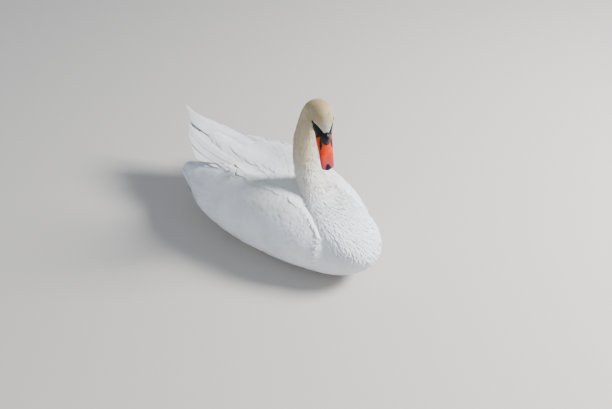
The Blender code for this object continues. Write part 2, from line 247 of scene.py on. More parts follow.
def depth_at(at):
    """How deep the skin lies at a station."""
    return np.interp(at, DEPTH_AT, DEPTHS)


EYE_SIDES = {"left": 1, "right": -1}
EYE_MIDDLES = {hand: on_head(0.0, 0.0, side * EYES_APART / 2) for hand, side in EYE_SIDES.items()}


def skin_form(at, a):
    """The form less the coat's depth, with a dip and a raised rim at distance r round each eye:
    rim * exp(-((r - at) / wide) ** 2) - dip * exp(-(r / wide) ** 2)."""
    point, out, _ = on_form(at, a)
    rise = -depth_at(at)
    for middle in EYE_MIDDLES.values():
        r = np.linalg.norm(point - middle, axis=-1)
        rim = np.exp(-(((r - EYE_RIM_AT) / EYE_RIM_WIDE) ** 2))
        rise = rise - EYE_DIP * np.exp(-((r / EYE_DIP_WIDE) ** 2)) + EYE_RIM * rim
    return point + out * rise[..., None]


def grid_faces(rings, around):
    """Quads between neighbouring closed rings, and a polygon over each end ring."""
    i, j = np.meshgrid(np.arange(rings - 1), np.arange(around), indexing="ij")
    k = (j + 1) % around
    quads = np.stack([i * around + j, i * around + k, (i + 1) * around + k, (i + 1) * around + j], axis=-1)
    last = (rings - 1) * around
    ends = [list(range(around))[::-1], list(range(last, last + around))]
    return quads.reshape(-1, 4), ends


def grid_uv(rings, around, low=(0.0, 0.0), high=(1.0, 1.0)):
    """The corners' places on a sheet, (share round, share along), for grid_faces' polygons."""
    i, j = np.meshgrid(np.arange(rings - 1), np.arange(around), indexing="ij")
    u = np.stack([j, j + 1, j + 1, j], axis=-1) / around
    v = np.stack([i, i, i + 1, i + 1], axis=-1) / (rings - 1)
    ring = np.arange(around) / around
    ends = [np.stack([ring[::-1], 0 * ring], axis=-1), np.stack([ring, 0 * ring + 1], axis=-1)]
    uv = np.concatenate([np.stack([u, v], axis=-1).reshape(-1, 2), *ends])
    return np.array(low) + uv * (np.array(high) - np.array(low))


def face_outwards(points, faces):
    """Whether faces point outwards: the volume's sign, by a sum of P0 . (P1 x P2), is positive."""
    fans = [(f[0], f[i], f[i + 1]) for f in faces for i in range(1, len(f) - 1)]
    a, b, c = points[np.array(fans)].transpose(1, 0, 2)
    return np.einsum("ij,ij->", a, np.cross(b, c)) > 0


RIM_ANGLE = math.radians(70.0)  # vanes and bill edges sharper than this are shaded as edges


def piece(name, points, faces, uv, finish, slot, vane=None, replaces=()):
    """Makes a finished piece: its mesh with the OFBake map, its material, its place in the frame."""
    mesh = bpy.data.meshes.new(name)
    mesh.from_pydata(points.reshape(-1, 3).tolist(), [], faces)
    mesh.uv_layers.new(name="OFBake").data.foreach_set("uv", np.asarray(uv, np.float32).ravel())
    if vane is not None:
        mesh.uv_layers.new(name="Vane").data.foreach_set("uv", np.asarray(vane, np.float32).ravel())
    mesh.shade_smooth()
    mesh.set_sharp_from_angle(angle=RIM_ANGLE)
    mesh.materials.append(finish)
    thing = bpy.data.objects.new(name, mesh)
    bpy.context.scene.collection.objects.link(thing)
    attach(thing, "root")
    if replaces:
        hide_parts(*replaces)


def islands(grids, places=None):
    """Several closed grids as one mesh: points, faces and OFBake corners, side by side."""
    points, faces, uv, start = [], [], [], 0
    for n, grid in enumerate(grids):
        rings, around = grid.shape[:2]
        quads, ends = grid_faces(rings, around)
        own = [list(f) for f in quads] + ends
        low, high = places[n] if places else ((n / len(grids), 0.0), ((n + 0.98) / len(grids), 1.0))
        own_uv = grid_uv(rings, around, low, high)
        flat = grid.reshape(-1, 3)
        if not face_outwards(flat, own):
            sizes = np.array([len(f) for f in own])
            starts = np.cumsum(sizes) - sizes
            order = np.concatenate([np.arange(s + size - 1, s - 1, -1) for s, size in zip(starts, sizes)])
            own, own_uv = [f[::-1] for f in own], own_uv[order]
        faces += [[int(start + i) for i in f] for f in own]
        points.append(flat)
        uv.append(own_uv)
        start += rings * around
    return np.concatenate(points), faces, np.concatenate(uv)


def grid_piece(name, grids, finish, slot, replaces=(), places=None, vane=None):
    """Makes a finished piece of one or more closed grids."""
    points, faces, uv = islands(grids, places)
    piece(name, points, faces, uv, finish, slot, vane, replaces)


class Socket:
    """An output of a material's node tree; sums and products with it add Math nodes."""

    def __init__(self, paint, socket):
        self.paint, self.socket = paint, socket

    def math(self, operation, *others):
        return self.paint.node("ShaderNodeMath", {"operation": operation}, [self, *others])

    def __add__(self, other):
        return self.math("ADD", other)

    def __sub__(self, other):
        return self.math("SUBTRACT", other)

    def __mul__(self, other):
        return self.math("MULTIPLY", other)

    def __truediv__(self, other):
        return self.math("DIVIDE", other)

    def __rsub__(self, other):
        return self.paint.node("ShaderNodeMath", {"operation": "SUBTRACT"}, [other, self])

    __radd__, __rmul__ = __add__, __mul__

    def limited(self):
        """The value held between 0 and 1."""
        return self.paint.node("ShaderNodeMath", {"operation": "ADD", "use_clamp": True}, [self, 0.0])

    def rising(self, low, high):
        """0 below low, 1 above high, straight between."""
        return ((self - low) / (high - low)).limited()


class Paint:
    """A material, built node by node around its Principled shader."""

    def __init__(self, name, **constants):
        self.material = bpy.data.materials.new(name)
        self.material.use_nodes = True
        self.tree = self.material.node_tree
        self.shader = self.tree.nodes["Principled BSDF"]
        for socket, value in constants.items():
            self.shader.inputs[socket.replace("_", " ")].default_value = value

    def node(self, kind, settings, inputs, output=0):
        """A node of a kind: its settings first, then the values or links of its sockets."""
        node = self.tree.nodes.new(kind)
        for key, value in settings.items():
            setattr(node, key, value)
        pairs = inputs.items() if isinstance(inputs, dict) else enumerate(inputs)
        for key, value in pairs:
            if isinstance(value, Socket):
                self.tree.links.new(value.socket, node.inputs[key])
            else:
                node.inputs[key].default_value = value
        return Socket(self, node.outputs[output])

    def place(self):
        """The place on the object, in metres."""
        return self.node("ShaderNodeTexCoord", {}, [], "Object")

    def vane(self):
        """The place on a feather's own vane: share across it and share along it."""
        return self.node("ShaderNodeUVMap", {"uv_map": "Vane"}, [])

    def scaled(self, vector, scale):
        """A vector times another, number by number."""
        return self.node("ShaderNodeVectorMath", {"operation": "MULTIPLY"}, [vector, scale])

    def part_of(self, vector, axis):
        """How far a vector reaches along an axis."""
        return self.node("ShaderNodeVectorMath", {"operation": "DOT_PRODUCT"}, [vector, axis], "Value")

    def noise(self, vector, scale, detail=3.0):
        """Smooth noise between 0 and 1."""
        return self.node("ShaderNodeTexNoise", {}, {"Vector": vector, "Scale": scale, "Detail": detail})

    def mix(self, share, one, two):
        """One colour, turning into another as the share rises."""
        return self.node("ShaderNodeMix", {"data_type": "RGBA"}, {0: share, 6: one, 7: two}, 2)

    def bump(self, height, distance):
        """Fine relief of a height, as a normal."""
        return self.node("ShaderNodeBump", {}, {"Height": height, "Distance": distance, "Strength": 1.0})

    def shade(self, **links):
        """Links values into the shader's own sockets."""
        for socket, value in links.items():
            self.tree.links.new(value.socket, self.shader.inputs[socket.replace("_", " ")])
        return self.material


# Both whites are tinted blue as painted sky light; the shaded white is painted bluish shade, laid in random
# clouds over the white.
WHITE, SHADED_WHITE = (0.83, 0.86, 0.89, 1.0), (0.70, 0.745, 0.79, 1.0)
BUFF, DEEP_BUFF, CROWN_BUFF = (0.62, 0.53, 0.36, 1.0), (0.49, 0.39, 0.22, 1.0), (0.42, 0.30, 0.115, 1.0)
SOILED = (0.50, 0.43, 0.35, 1.0)
BLACK = (0.005, 0.005, 0.006, 1.0)
STAIN_FROM, STAIN_TO = 0.165, 0.345  # heights over which the buff stain comes in
CROWN_FROM, CROWN_TO = 0.425, 0.480  # and over which it deepens
STAIN_CLOUD, STAIN_FLECK, CROWN_CLOUD = 0.35, 0.25, 0.5  # how uneven its edges are
DEEP_CLOUD, DEEP_FLECK, DEEP_LEAST = 0.8, 1.6, 1.0  # where the deeper buff lies
CROWN_SHARE, SOIL_SHARE, FACE_THIN = 0.9, 0.75, 0.5
SOIL_TOP, SOIL_PATCHES = 0.060, (0.40, 0.62)  # height below which the belly is soiled, in patches
CLOUDS, FLECKS, CLOUD_EDGE = 14.0, 120.0, (0.42, 0.75)  # clouds and flecks to the metre
FORWARD = unit(on_head(1.0, 0.0) - on_head(0.0, 0.0))
UPWARD = unit(on_head(0.0, 1.0) - on_head(0.0, 0.0))
ASIDE = unit(on_head(0.0, 0.0, 1.0) - on_head(0.0, 0.0))
FACE_FROM, FACE_TO = -0.004, 0.034  # how far forward of the eyes the stain thins out
THROAT_FROM, THROAT_TO = -0.055, -0.030  # and how far below them it still does


def from_eyes(paint):
    """The way from between the eyes, as a vector for a material."""
    middle = tuple(on_head(0.0, 0.0))
    return paint.node("ShaderNodeVectorMath", {"operation": "SUBTRACT"}, [paint.place(), middle])


def plumage_colour(paint):
    """White tinted blue by painted sky light and clouded with painted bluish shade, soiled low down, and buff
    up the neck.

    The buff is deepest on the crown and thin on the face.
    """
    place = paint.place()
    height = paint.node("ShaderNodeSeparateXYZ", {}, [place], "Z")
    cloud = paint.noise(place, CLOUDS)
    fine = paint.noise(place, FLECKS)
    # Painted bluish shade, clouded at random over the sky-tinted white.
    white = paint.mix(cloud.rising(*CLOUD_EDGE), WHITE, SHADED_WHITE)
    stain = height.rising(STAIN_FROM, STAIN_TO) + (cloud - 0.5) * STAIN_CLOUD + (fine - 0.5) * STAIN_FLECK
    off = from_eyes(paint)
    face = paint.part_of(off, tuple(FORWARD)).rising(FACE_FROM, FACE_TO)
    face = face * paint.part_of(off, tuple(UPWARD)).rising(THROAT_FROM, THROAT_TO)
    stain = stain.limited() * (1.0 - face * FACE_THIN)
    buff = paint.mix((fine * DEEP_FLECK + cloud * DEEP_CLOUD - DEEP_LEAST).limited(), BUFF, DEEP_BUFF)
    crown = (height.rising(CROWN_FROM, CROWN_TO) + (cloud - 0.5) * CROWN_CLOUD).limited()
    buff = paint.mix(crown * CROWN_SHARE, buff, CROWN_BUFF)
    soil = (1.0 - height.rising(0.0, SOIL_TOP)) * cloud.rising(*SOIL_PATCHES)
    return paint.mix(soil.limited() * SOIL_SHARE, paint.mix(stain, white, buff), SOILED)


# The bare skin's edge runs from each eye up to a point over the knob, and down to the gape.
BARE_TOP, BARE_TOP_SLOPE = 0.0385, 1.62
BARE_LOW, BARE_LOW_SLOPE = 0.0020, 1.18
BARE_REACH = 0.062  # how far from between the eyes the bare skin can lie


def bare(points):
    """How far points lie inside the bare black skin, in metres, less than 0 outside it.

    The least of forward - (top - slope * |aside|), forward - (low - slope * up) and
    reach - distance.
    """
    off = points - on_head(0.0, 0.0)
    forward, up, aside = off @ FORWARD, off @ UPWARD, np.abs(off @ ASIDE)
    over = forward - (BARE_TOP - BARE_TOP_SLOPE * aside)
    under = forward - (BARE_LOW - BARE_LOW_SLOPE * up)
    return np.minimum(np.minimum(over, under), BARE_REACH - np.linalg.norm(off, axis=-1))


def bare_share(paint):
    """The same bare skin as a share for a material: 1 inside it, 0 outside."""
    off = from_eyes(paint)
    forward, up = paint.part_of(off, tuple(FORWARD)), paint.part_of(off, tuple(UPWARD))
    aside = paint.part_of(off, tuple(ASIDE)).math("ABSOLUTE")
    over = forward - (BARE_TOP - BARE_TOP_SLOPE * aside)
    under = forward - (BARE_LOW - BARE_LOW_SLOPE * up)
    distance = paint.node("ShaderNodeVectorMath", {"operation": "LENGTH"}, [off], "Value")
    return over.math("MINIMUM", under).math("MINIMUM", BARE_REACH - distance).rising(-0.0003, 0.0005)


skin_paint = Paint("skin_finish", Roughness=0.6, Specular_IOR_Level=0.12)
skin_place = skin_paint.place()
skin_bare = bare_share(skin_paint)
skin_relief = skin_paint.noise(skin_place, 900.0) * 0.5 + skin_paint.noise(skin_place, 300.0)
skin_finish = skin_paint.shade(
    Base_Color=skin_paint.mix(skin_bare, plumage_colour(skin_paint), BLACK),
    Roughness=0.75 - skin_bare * 0.35,
    Normal=skin_paint.bump(skin_relief, 0.0006),
)

# A folded wing, along y: aside, height of its arch's axis, spread, rise, angles of its edges.
WING = (
    (-0.220, 0.020, 0.104, 0.074, 0.062, 50.0, 106.0),  # wrist
    (-0.165, 0.020, 0.106, 0.102, 0.092, 27.0, 120.0),
    (-0.080, 0.020, 0.109, 0.124, 0.113, 15.0, 129.0),
    (0.000, 0.025, 0.106, 0.131, 0.118, 16.0, 131.0),
    (0.100, 0.035, 0.103, 0.128, 0.102, 12.0, 130.0),
    (0.190, 0.055, 0.104, 0.098, 0.070, 6.0, 122.0),
    (0.255, 0.074, 0.112, 0.054, 0.038, 4.0, 116.0),
    (0.295, 0.088, 0.119, 0.024, 0.017, 0.0, 110.0),  # blunt rear end
)
WING_EDGE, WING_DIP = 0.026, 0.008
WING_THICK, BLADE_THICK = 0.030, 0.006
THIN_FROM, THIN_TO = 0.6, 0.9
WING_LONG, WING_ROUND = 0.50, 0.30
WING_RINGS, WING_ACROSS = 60, 40
WING_DEPTH = 0.004  # how deep the wing lies under its feathers
read_wing = spline([row[0] for row in WING], [row[1:] for row in WING])


def wing_form(side, s, q, sink=0.0):
    """A folded wing's outer arch, at a share s from the wrist back and q from its top edge down.

    At angle p from upright, P = (aside + spread * sin(p), y, axis + rise * cos(p)), where
    spread and rise are less by `sink` and by a dip that rounds the edges down.
    """
    s, q = np.broadcast_arrays(np.asarray(s, float), np.asarray(q, float))
    y = WING[0][0] + s * (WING[-1][0] - WING[0][0])
    aside, axis, spread, rise, top, low = np.moveaxis(read_wing(y), -1, 0)
    p = np.radians(top + q * (low - top))
    inset = np.minimum(np.minimum(q, 1 - q) * WING_ROUND, np.minimum(s, 1 - s) * WING_LONG)
    dip = WING_DIP * (1 - np.sqrt(1 - (1 - np.clip(inset / WING_EDGE, 0, 1)) ** 2))
    x, z = aside + (spread - dip - sink) * np.sin(p), axis + (rise - dip - sink) * np.cos(p)
    return np.stack([side * x, y, z], axis=-1) + CENTRING


head_at = np.linspace(HEAD_FROM, BILL_ROOT, HEAD_RINGS + 1)[1:]
at = np.concatenate([np.linspace(0.0, HEAD_FROM, TRUNK_RINGS), head_at])
a = np.linspace(0.0, 2 * math.pi, ROUND, endpoint=False)
skin_grids = [skin_form(at[:, None], a[None, :])]
for side in (1, -1):
    s, q = np.linspace(0.0, 1.0, WING_RINGS)[:, None], np.linspace(0.0, 1.0, WING_ACROSS)[None, :]
    thick = BLADE_THICK + (WING_THICK - BLADE_THICK) * (1 - smooth(THIN_FROM, THIN_TO, s))
    outer, inner = wing_form(side, s, q, WING_DEPTH), wing_form(side, s, q, thick)
    skin_grids.append(np.concatenate([outer, inner[:, ::-1]], axis=1))
SKIN_PLACES = (((0.0, 0.0), (0.6, 1.0)), ((0.62, 0.0), (0.80, 1.0)), ((0.82, 0.0), (1.0, 1.0)))
flesh = ("trunk", "neck_lower", "neck_upper", "head", "wing_left", "wing_right")
grid_piece("skin", skin_grids, skin_finish, "white_plumage", flesh, SKIN_PLACES)

# ---- Contour feathers ----------------------------------------------------------------
# The coat of the head, neck, breast and body: small overlapping feathers that grow out of
# the skin and lie towards the tail. They are short and dense as velvet on the face,
# pointed and a little ragged down the neck, and broad and rounded on the body.
PATCH = 0.003  # size of a feather's patch on the OFBake map
LENS_SECTION = ((-1.0, 0.0), (0.0, 1.0), (1.0, 0.0), (0.0, -0.6))  # across, and in thicknesses
HARD_GROUND = 0.0004  # the lowest that a feather lies
DARTS, DART_ROOM = 4, 0.85  # candidates for each try, and the share of the spacing kept clear
MOST_HOLLOW, MOST_ROUND = -40.0, 60.0  # limits of a feather's bend, for each metre
BARBS, DOWN = (14.0, 3.0, 1.0), 700.0  # across and along a vane, and to the metre


def vane_width(s, tip_from, power, root=0.35):
    """Half width along a vane, as a share of its widest: rises from the root, then
    (1 - t ** 2) ** power towards the tip, with t the share of the way through the tip."""
    t = np.clip((s - tip_from) / (1 - tip_from), 0.0, 1.0)
    return (root + (1 - root) * smooth(0.0, 0.4, s)) * np.maximum(1 - t**2, 0.0) ** power


def feather_mesh(point, out, back, length, width, lift, bend, shares, widths, thick, section):
    """Many feathers at once, as closed vanes of one section (feather, ring, corner, 3).

    P = root + back * L s + across * W w(s) x + out * (h(s) + T w(s) z - bend terms), where
    h(s) rises from lift[0] at the root to lift[1] at the tip, and the bend terms
    (k1 (L s) ** 2 + k2 (W w x) ** 2) / 2 follow the surface's own curvature.
    """
    across = unit(np.cross(out, back))
    s = np.asarray(shares)[None, :, None]
    w = np.asarray(widths)[None, :, None]
    x, z = np.array(section)[:, 0][None, None, :], np.array(section)[:, 1][None, None, :]
    length, width, thick = (np.broadcast_to(v, len(point))[:, None, None] for v in (length, width, thick))
    root_lift, tip_lift = (np.broadcast_to(v, len(point))[:, None, None] for v in lift)
    bend_along, bend_across = (np.broadcast_to(v, len(point))[:, None, None] for v in bend)
    run, reach = length * s + 0 * x, width * w * x
    height = root_lift + (tip_lift - root_lift) * s + thick * (0.25 + 0.75 * w) * z
    height = height - (bend_along * run**2 + bend_across * reach**2) / 2
    parts = (back[:, None, None] * run[..., None], across[:, None, None] * reach[..., None])
    points = point[:, None, None] + sum(parts) + out[:, None, None] * height[..., None]
    points[..., 2] = np.maximum(points[..., 2], HARD_GROUND)
    return points


def feather_topology(count, rings, corners):
    """Faces of many like feathers: quads between rings and a polygon over each end."""
    quads, ends = grid_faces(rings, corners)
    one = [list(f) for f in quads] + ends
    size = rings * corners
    return [[i + n * size for i in f] for n in range(count) for f in one], one


def feather_uv(roots, shares, section, one):
    """OFBake corners, a patch at each root's place, and Vane corners, (across, along)."""
    across, along = np.broadcast_arrays(np.array(section)[None, :, 0] / 2, np.asarray(shares)[:, None] - 0.5)
    own = np.stack([across, along], axis=-1).reshape(-1, 2)
    corners = own[np.concatenate([np.array(f) for f in one])]
    baked = roots[:, None] + corners[None] * PATCH
    vane = np.broadcast_to(corners + 0.5, baked.shape)
    return np.clip(baked, 0.0, 1.0).reshape(-1, 2), vane.reshape(-1, 2)


def lay_feathers(name, slot, roots, section, stand, size, lift, bend, shares, widths, thick):
    """Makes one piece of many feathers, whose roots lie at `roots` on the OFBake map.

    `stand` is the points, outward normals and directions of the feathers, and `size` their
    lengths and widths.
    """
    vanes = feather_mesh(*stand, *size, lift, bend, shares, widths, thick, section)
    faces, one = feather_topology(*vanes.shape[:3])
    uv, vane = feather_uv(roots, shares, section, one)
    piece(name, vanes, faces, uv, plumage_finish, slot, vane)


def scatter(surface, low, high, spacing, tries, seed):
    """Roots spread over a surface (u, v), about `spacing(u, v)` apart, by throwing darts."""
    chance = np.random.default_rng(seed)
    u, v = (chance.uniform(low[i], high[i], tries * DARTS) for i in range(2))
    step_u, step_v = (high[0] - low[0]) * 1e-3, (high[1] - low[1]) * 1e-3
    along, across = surface(u + step_u, v) - surface(u, v), surface(u, v + step_v) - surface(u, v)
    weight = np.linalg.norm(np.cross(along, across), axis=-1) / spacing(u, v) ** 2
    kept = chance.choice(len(u), tries, replace=False, p=weight / weight.sum())
    u, v = u[kept], v[kept]
    points, room = surface(u, v), spacing(u, v)
    tree = KDTree(tries)
    for i, p in enumerate(points):
        tree.insert(p, i)
    tree.balance()
    alive = np.ones(tries, bool)
    for i in range(tries):
        if alive[i]:
            near = [j for _, j, _ in tree.find_range(points[i], room[i] * DART_ROOM) if j > i]
            alive[near] = False
    return u[alive], v[alive]


def curvatures(surface, u, v, point, out, reach_u, reach_v):
    """How much a surface bends along u and across v: -2 * drop / distance ** 2, both ways."""
    bends = []
    for du, dv in ((reach_u, 0.0), (0.0, reach_v)):
        one, two = surface(u + du, v + dv) - point, surface(u - du, v - dv) - point
        drop = -np.einsum("ij,ij->i", one + two, out) / 2
        span = (np.linalg.norm(one, axis=-1) + np.linalg.norm(two, axis=-1)) / 2
        bends.append(np.clip(2 * drop / np.maximum(span, 1e-5) ** 2, MOST_HOLLOW, MOST_ROUND))
    return bends


plumage = Paint("plumage_finish", Roughness=0.70, Sheen_Weight=0.15, Sheen_Roughness=0.5)
vane_place = plumage.vane()
barbs = plumage.noise(plumage.scaled(vane_place, BARBS), 1.0, 2.0)
down = plumage.noise(plumage.place(), DOWN, 2.0)
plumage_finish = plumage.shade(
    Base_Color=plumage_colour(plumage),
    Normal=plumage.bump(barbs * 0.7 + down * 0.3, 0.0007),
)

# Coat sizes by station: length, half width, spacing, and how proud the tips stand.
COAT_AT = (0.0, 2.0, 4.0, 7.0, 10.0, 12.0, 14.0, 17.0, 19.0, 21.0, 25.0)
COAT_LENGTH = (0.055, 0.048, 0.042, 0.034, 0.028, 0.024, 0.019, 0.0145, 0.0098, 0.0064, 0.0030)
COAT_WIDTH = (0.0140, 0.0125, 0.0105, 0.0066, 0.0039, 0.0028, 0.0020, 0.0016, 0.0012, 0.0009, 0.0006)
COAT_SPACING = (0.0115, 0.0102, 0.0088, 0.0062, 0.0043, 0.0034, 0.0028, 0.0025, 0.0021, 0.0017, 0.0012)
COAT_PROUD = (0.0004, 0.0004, 0.0003, 0.0007, 0.0010, 0.0010, 0.0008, 0.0005, 0.0003, 0.0002, 0.0001)
COAT_RAGGED = (0.0, 0.0, 0.0, 0.25, 0.7, 1.0, 1.0, 0.8, 0.35, 0.15, 0.0)  # how far it parts into locks
EYE_CLEAR = 0.0068  # how near the middle of an eye the feathers come
BARE_CLEAR = 0.7  # the share of a feather's length that has to lie clear of the bare skin
ROOT_AT, ROOT_DEEP = (0.0, 7.0, 12.0), (0.50, 0.60, 0.95)  # how deep the roots lie, in coat depths
TIP_DEEP = 0.15  # and the tips, before they stand proud
LOCK_FEATHERS, LOCK_LONG, LOCK_YAW, LOCK_LIFT = 16, 0.2, 0.22, 0.0020
LENGTH_VARIES, WIDTH_VARIES, PROUD_VARIES, YAW_VARIES = (0.85, 1.15), (0.9, 1.1), (0.3, 1.5), 0.10
STEEPEST = -0.40  # a feather that would have to bend up further than this, in radians, is left out
ZONES = (  # name, stations, tries, rings along a feather, where its tip begins, its power, slot
    ("body_feathers", 0.0, 4.5, 12000, 5, 0.45, 0.5, "white_plumage"),
    ("breast_feathers", 4.5, 12.0, 34000, 5, 0.30, 0.85, "white_plumage"),
    ("neck_feathers", 12.0, 18.6, 44000, 4, 0.25, 0.9, "buff_plumage"),
    ("face_feathers", 18.6, 24.95, 44000, 3, 0.30, 0.7, "buff_plumage"),
)


def locks(points, seed):
    """Three random numbers of -1 to 1 for each feather, the same for all feathers of a lock.

    A feather belongs to the nearest of some randomly chosen feathers.
    """
    chance = np.random.default_rng(seed)
    middles = points[chance.choice(len(points), len(points) // LOCK_FEATHERS, replace=False)]
    parts = np.array_split(points, len(points) // 250 + 1)
    near = [np.argmin(((part[:, None] - middles[None]) ** 2).sum(axis=-1), axis=1) for part in parts]
    return chance.uniform(-1.0, 1.0, (len(middles), 3))[np.concatenate(near)]


for seed, (name, low, high, tries, rings, tip_from, power, slot) in enumerate(ZONES):
    at, a = scatter(
        form, (low, 0.0), (high, 2 * math.pi), lambda u, v: np.interp(u, COAT_AT, COAT_SPACING), tries, seed
    )
    chance = np.random.default_rng(seed + 50)
    point, out, back = on_form(at, a)
    length, width = np.interp(at, COAT_AT, COAT_LENGTH), np.interp(at, COAT_AT, COAT_WIDTH)
    length = length * chance.uniform(*LENGTH_VARIES, len(at))
    width = width * chance.uniform(*WIDTH_VARIES, len(at))
    lock, ragged = locks(point, seed + 90), np.interp(at, COAT_AT, COAT_RAGGED)
    length = length * (1.0 + LOCK_LONG * ragged * lock[:, 1])
    yaw = (chance.normal(0.0, YAW_VARIES, len(at)) + LOCK_YAW * ragged * lock[:, 0])[:, None]
    back = unit(back * np.cos(yaw) + np.cross(out, back) * np.sin(yaw))
    proud = np.interp(at, COAT_AT, COAT_PROUD) * chance.uniform(*PROUD_VARIES, len(at))
    proud = proud + LOCK_LIFT * ragged * np.maximum(lock[:, 2], 0.0) ** 2
    bend = curvatures(form, at, a, point, out, 0.15, 0.12)
    kept = (bare(point) < 0.0) & (bare(point + back * length[:, None] * BARE_CLEAR) < 0.0)
    kept &= bend[0] * length > STEEPEST
    for middle in EYE_MIDDLES.values():
        kept &= np.linalg.norm(point - middle, axis=-1) > EYE_CLEAR
    every = (at, a, point, out, back, length, width, proud, *bend)
    at, a, point, out, back, length, width, proud, *bend = (x[kept] for x in every)
    depth = depth_at(at)
    shares = np.linspace(0.0, 1.0, rings) ** 0.85
    widths = vane_width(shares * 0.97, tip_from, power)
    lift = (-depth * np.interp(at, ROOT_AT, ROOT_DEEP), -TIP_DEEP * depth + proud)
    roots = np.stack([a / (2 * math.pi) * 0.6, at / BILL_ROOT], axis=-1)
    stand, size, thick = (point, out, back), (length, width), 0.0003 + 0.01 * width
    lay_feathers(name, slot, roots, LENS_SECTION, stand, size, lift, bend, shares, widths, thick)

# ---- Wing coverts --------------------------------------------------------------------
# The soft feathers that clothe a folded wing: small and round at the wrist, longer and
# broader towards the rear, each row lying over the roots of the next.
VANE_SECTION = (
    (-1.0, 0.0), (-0.6, 0.75), (0.0, 1.0), (0.6, 0.75), (1.0, 0.0), (0.5, -0.5), (-0.5, -0.5),
)
VANE_SHARES = np.array([0.0, 0.3, 0.55, 0.72, 0.84, 0.92, 0.97, 1.0])  # places of a vane's rings
VANE_END, VANE_TIP_FROM = 0.98, 0.45  # where the last ring is on the outline, and where its tip begins
COVERT_AT = (0.0, 0.15, 0.40, 0.70, 1.0)  # shares of the wing's length
COVERT_LENGTH = (0.022, 0.030, 0.050, 0.070, 0.060)
COVERT_WIDTH = (0.0065, 0.0090, 0.0135, 0.0160, 0.0120)
COVERT_SPACING = (0.0062, 0.0082, 0.0118, 0.0140, 0.0115)
COVERT_PROUD, COVERT_SUNK = 0.0008, 0.0006  # how far the tips stand out, less how far they lie in
COVERT_LOW, COVERT_HIGH = (0.012, 0.02), (0.985, 0.98)  # shares of the wing that they grow between
REAR_FROM, REAR_LOW = 0.8, 0.88  # none grow both behind the first and below the second
REAR_ROOM = 0.003  # how far they reach past the wing's end
COVERT_SWEEP, SWEEP_OVER = math.radians(9.0), (0.4, 0.9)  # how far they point down, and where that ends
COVERT_YAW, LONG_BY_CHANCE, PROUD_BY_CHANCE = 0.05, (0.9, 1.1), (0.2, 1.3)  # how much they vary
COVERT_TRIES, COVERT_REACH = 7000, 0.04
COVERT_ROOT_AT, COVERT_ROOT_DEEP = (0.0, 0.05, 0.25), (0.9, 0.8, 0.45)  # by share of the wing, in coat depths


def lay_vanes(name, roots, stand, size, lift, bend, power, thick):
    """A white piece of broad vanes, whose tips round off by a power."""
    widths = vane_width(VANE_SHARES * VANE_END, VANE_TIP_FROM, power)
    lay_feathers(
        name, "white_plumage", roots, VANE_SECTION, stand, size, lift, bend, VANE_SHARES, widths, thick
    )


for seed, (hand, side) in enumerate(EYE_SIDES.items()):
    def wing_surface(s, q, side=side):
        return wing_form(side, s, q)

    def spacing(s, q):
        return np.interp(s, COVERT_AT, COVERT_SPACING)

    s, q = scatter(wing_surface, COVERT_LOW, COVERT_HIGH, spacing, COVERT_TRIES, 70 + seed)
    kept = (s < REAR_FROM) | (q < REAR_LOW)
    s, q = s[kept], q[kept]
    chance = np.random.default_rng(80 + seed)
    point, out, forward = compass(wing_surface, s, q, 0.002, 0.002)
    out, back = out * -side, -forward
    down = unit(np.cross(out, back)) * -side
    sweep = (COVERT_SWEEP * (1 - smooth(*SWEEP_OVER, s)) + chance.normal(0.0, COVERT_YAW, len(s)))[:, None]
    back = unit(back * np.cos(sweep) + down * np.sin(sweep))
    length, width = np.interp(s, COVERT_AT, COVERT_LENGTH), np.interp(s, COVERT_AT, COVERT_WIDTH)
    room = (1.0 - s) * WING_LONG + REAR_ROOM
    length = np.minimum(length * chance.uniform(*LONG_BY_CHANCE, len(s)), room)
    bend = curvatures(wing_surface, s, q, point, out, COVERT_REACH, COVERT_REACH)
    proud = COVERT_PROUD * chance.uniform(*PROUD_BY_CHANCE, len(s))
    lift = (-WING_DEPTH * np.interp(s, COVERT_ROOT_AT, COVERT_ROOT_DEEP), proud - COVERT_SUNK)
    place = np.array(SKIN_PLACES[1 + seed])
    roots = place[0] + np.stack([q / 2, s], axis=-1) * (place[1] - place[0])
    lay_vanes("coverts_" + hand, roots, (point, out, back), (length, width), lift, bend, 0.5, 0.0004)

# ---- Mantle --------------------------------------------------------------------------
# The long soft scapular feathers of the back. They spread from the shoulders over the
# upper edges of both wings and the roots of the flight feathers, and sag into a shallow
# trough beside each wing.
BACK_LINE = (
    (-0.10, 0.213), (-0.05, 0.212), (0.02, 0.206), (0.10, 0.194), (0.16, 0.189), (0.22, 0.189), (0.27, 0.190),
)  # y and height
TROUGH_AT = ((-0.10, 0.000), (-0.02, 0.001), (0.06, 0.008), (0.14, 0.010), (0.27, 0.004))  # y and sag
LEFT_TROUGH = 0.2  # how much of it there is on the left side
MANTLE_FROM, MANTLE_TO = -0.125, 0.215
MANTLE_WIDE = 1.9  # how far it reaches: 1 is a wing's upper edge, 2 is MANTLE_OVER of the arch past it
MANTLE_EDGE, MANTLE_OVER = 0.06, 0.24
MANTLE_ABOVE = 0.0022
OUTER_END, INNER_END = 0.260, 0.320  # y that no feather of its sides, or of its middle, reaches past
SIDES_FROM, SIDES_TO, RAGGED_END = 0.6, 1.2, 0.04  # its sides, and how much sooner a feather may end
MANTLE_SPACING, MANTLE_SHORTEST = 0.0115, 0.028
MANTLE_TRIES, MANTLE_YAW = 6000, 0.05
MANTLE_LONG_AT, MANTLE_LONG = (MANTLE_FROM, 0.0, 0.1, MANTLE_TO), (0.035, 0.060, 0.080, 0.085)
MANTLE_WIDTH_AT, MANTLE_WIDTH = (MANTLE_FROM, 0.0, MANTLE_TO), (0.0100, 0.0145, 0.0175)
MANTLE_ROOT, MANTLE_LOOSE, MANTLE_FLAT = -0.0024, 0.0005, 0.0010  # lift: root, tip at most, less at the sides
read_back = spline([row[0] for row in BACK_LINE], [row[1:] for row in BACK_LINE])


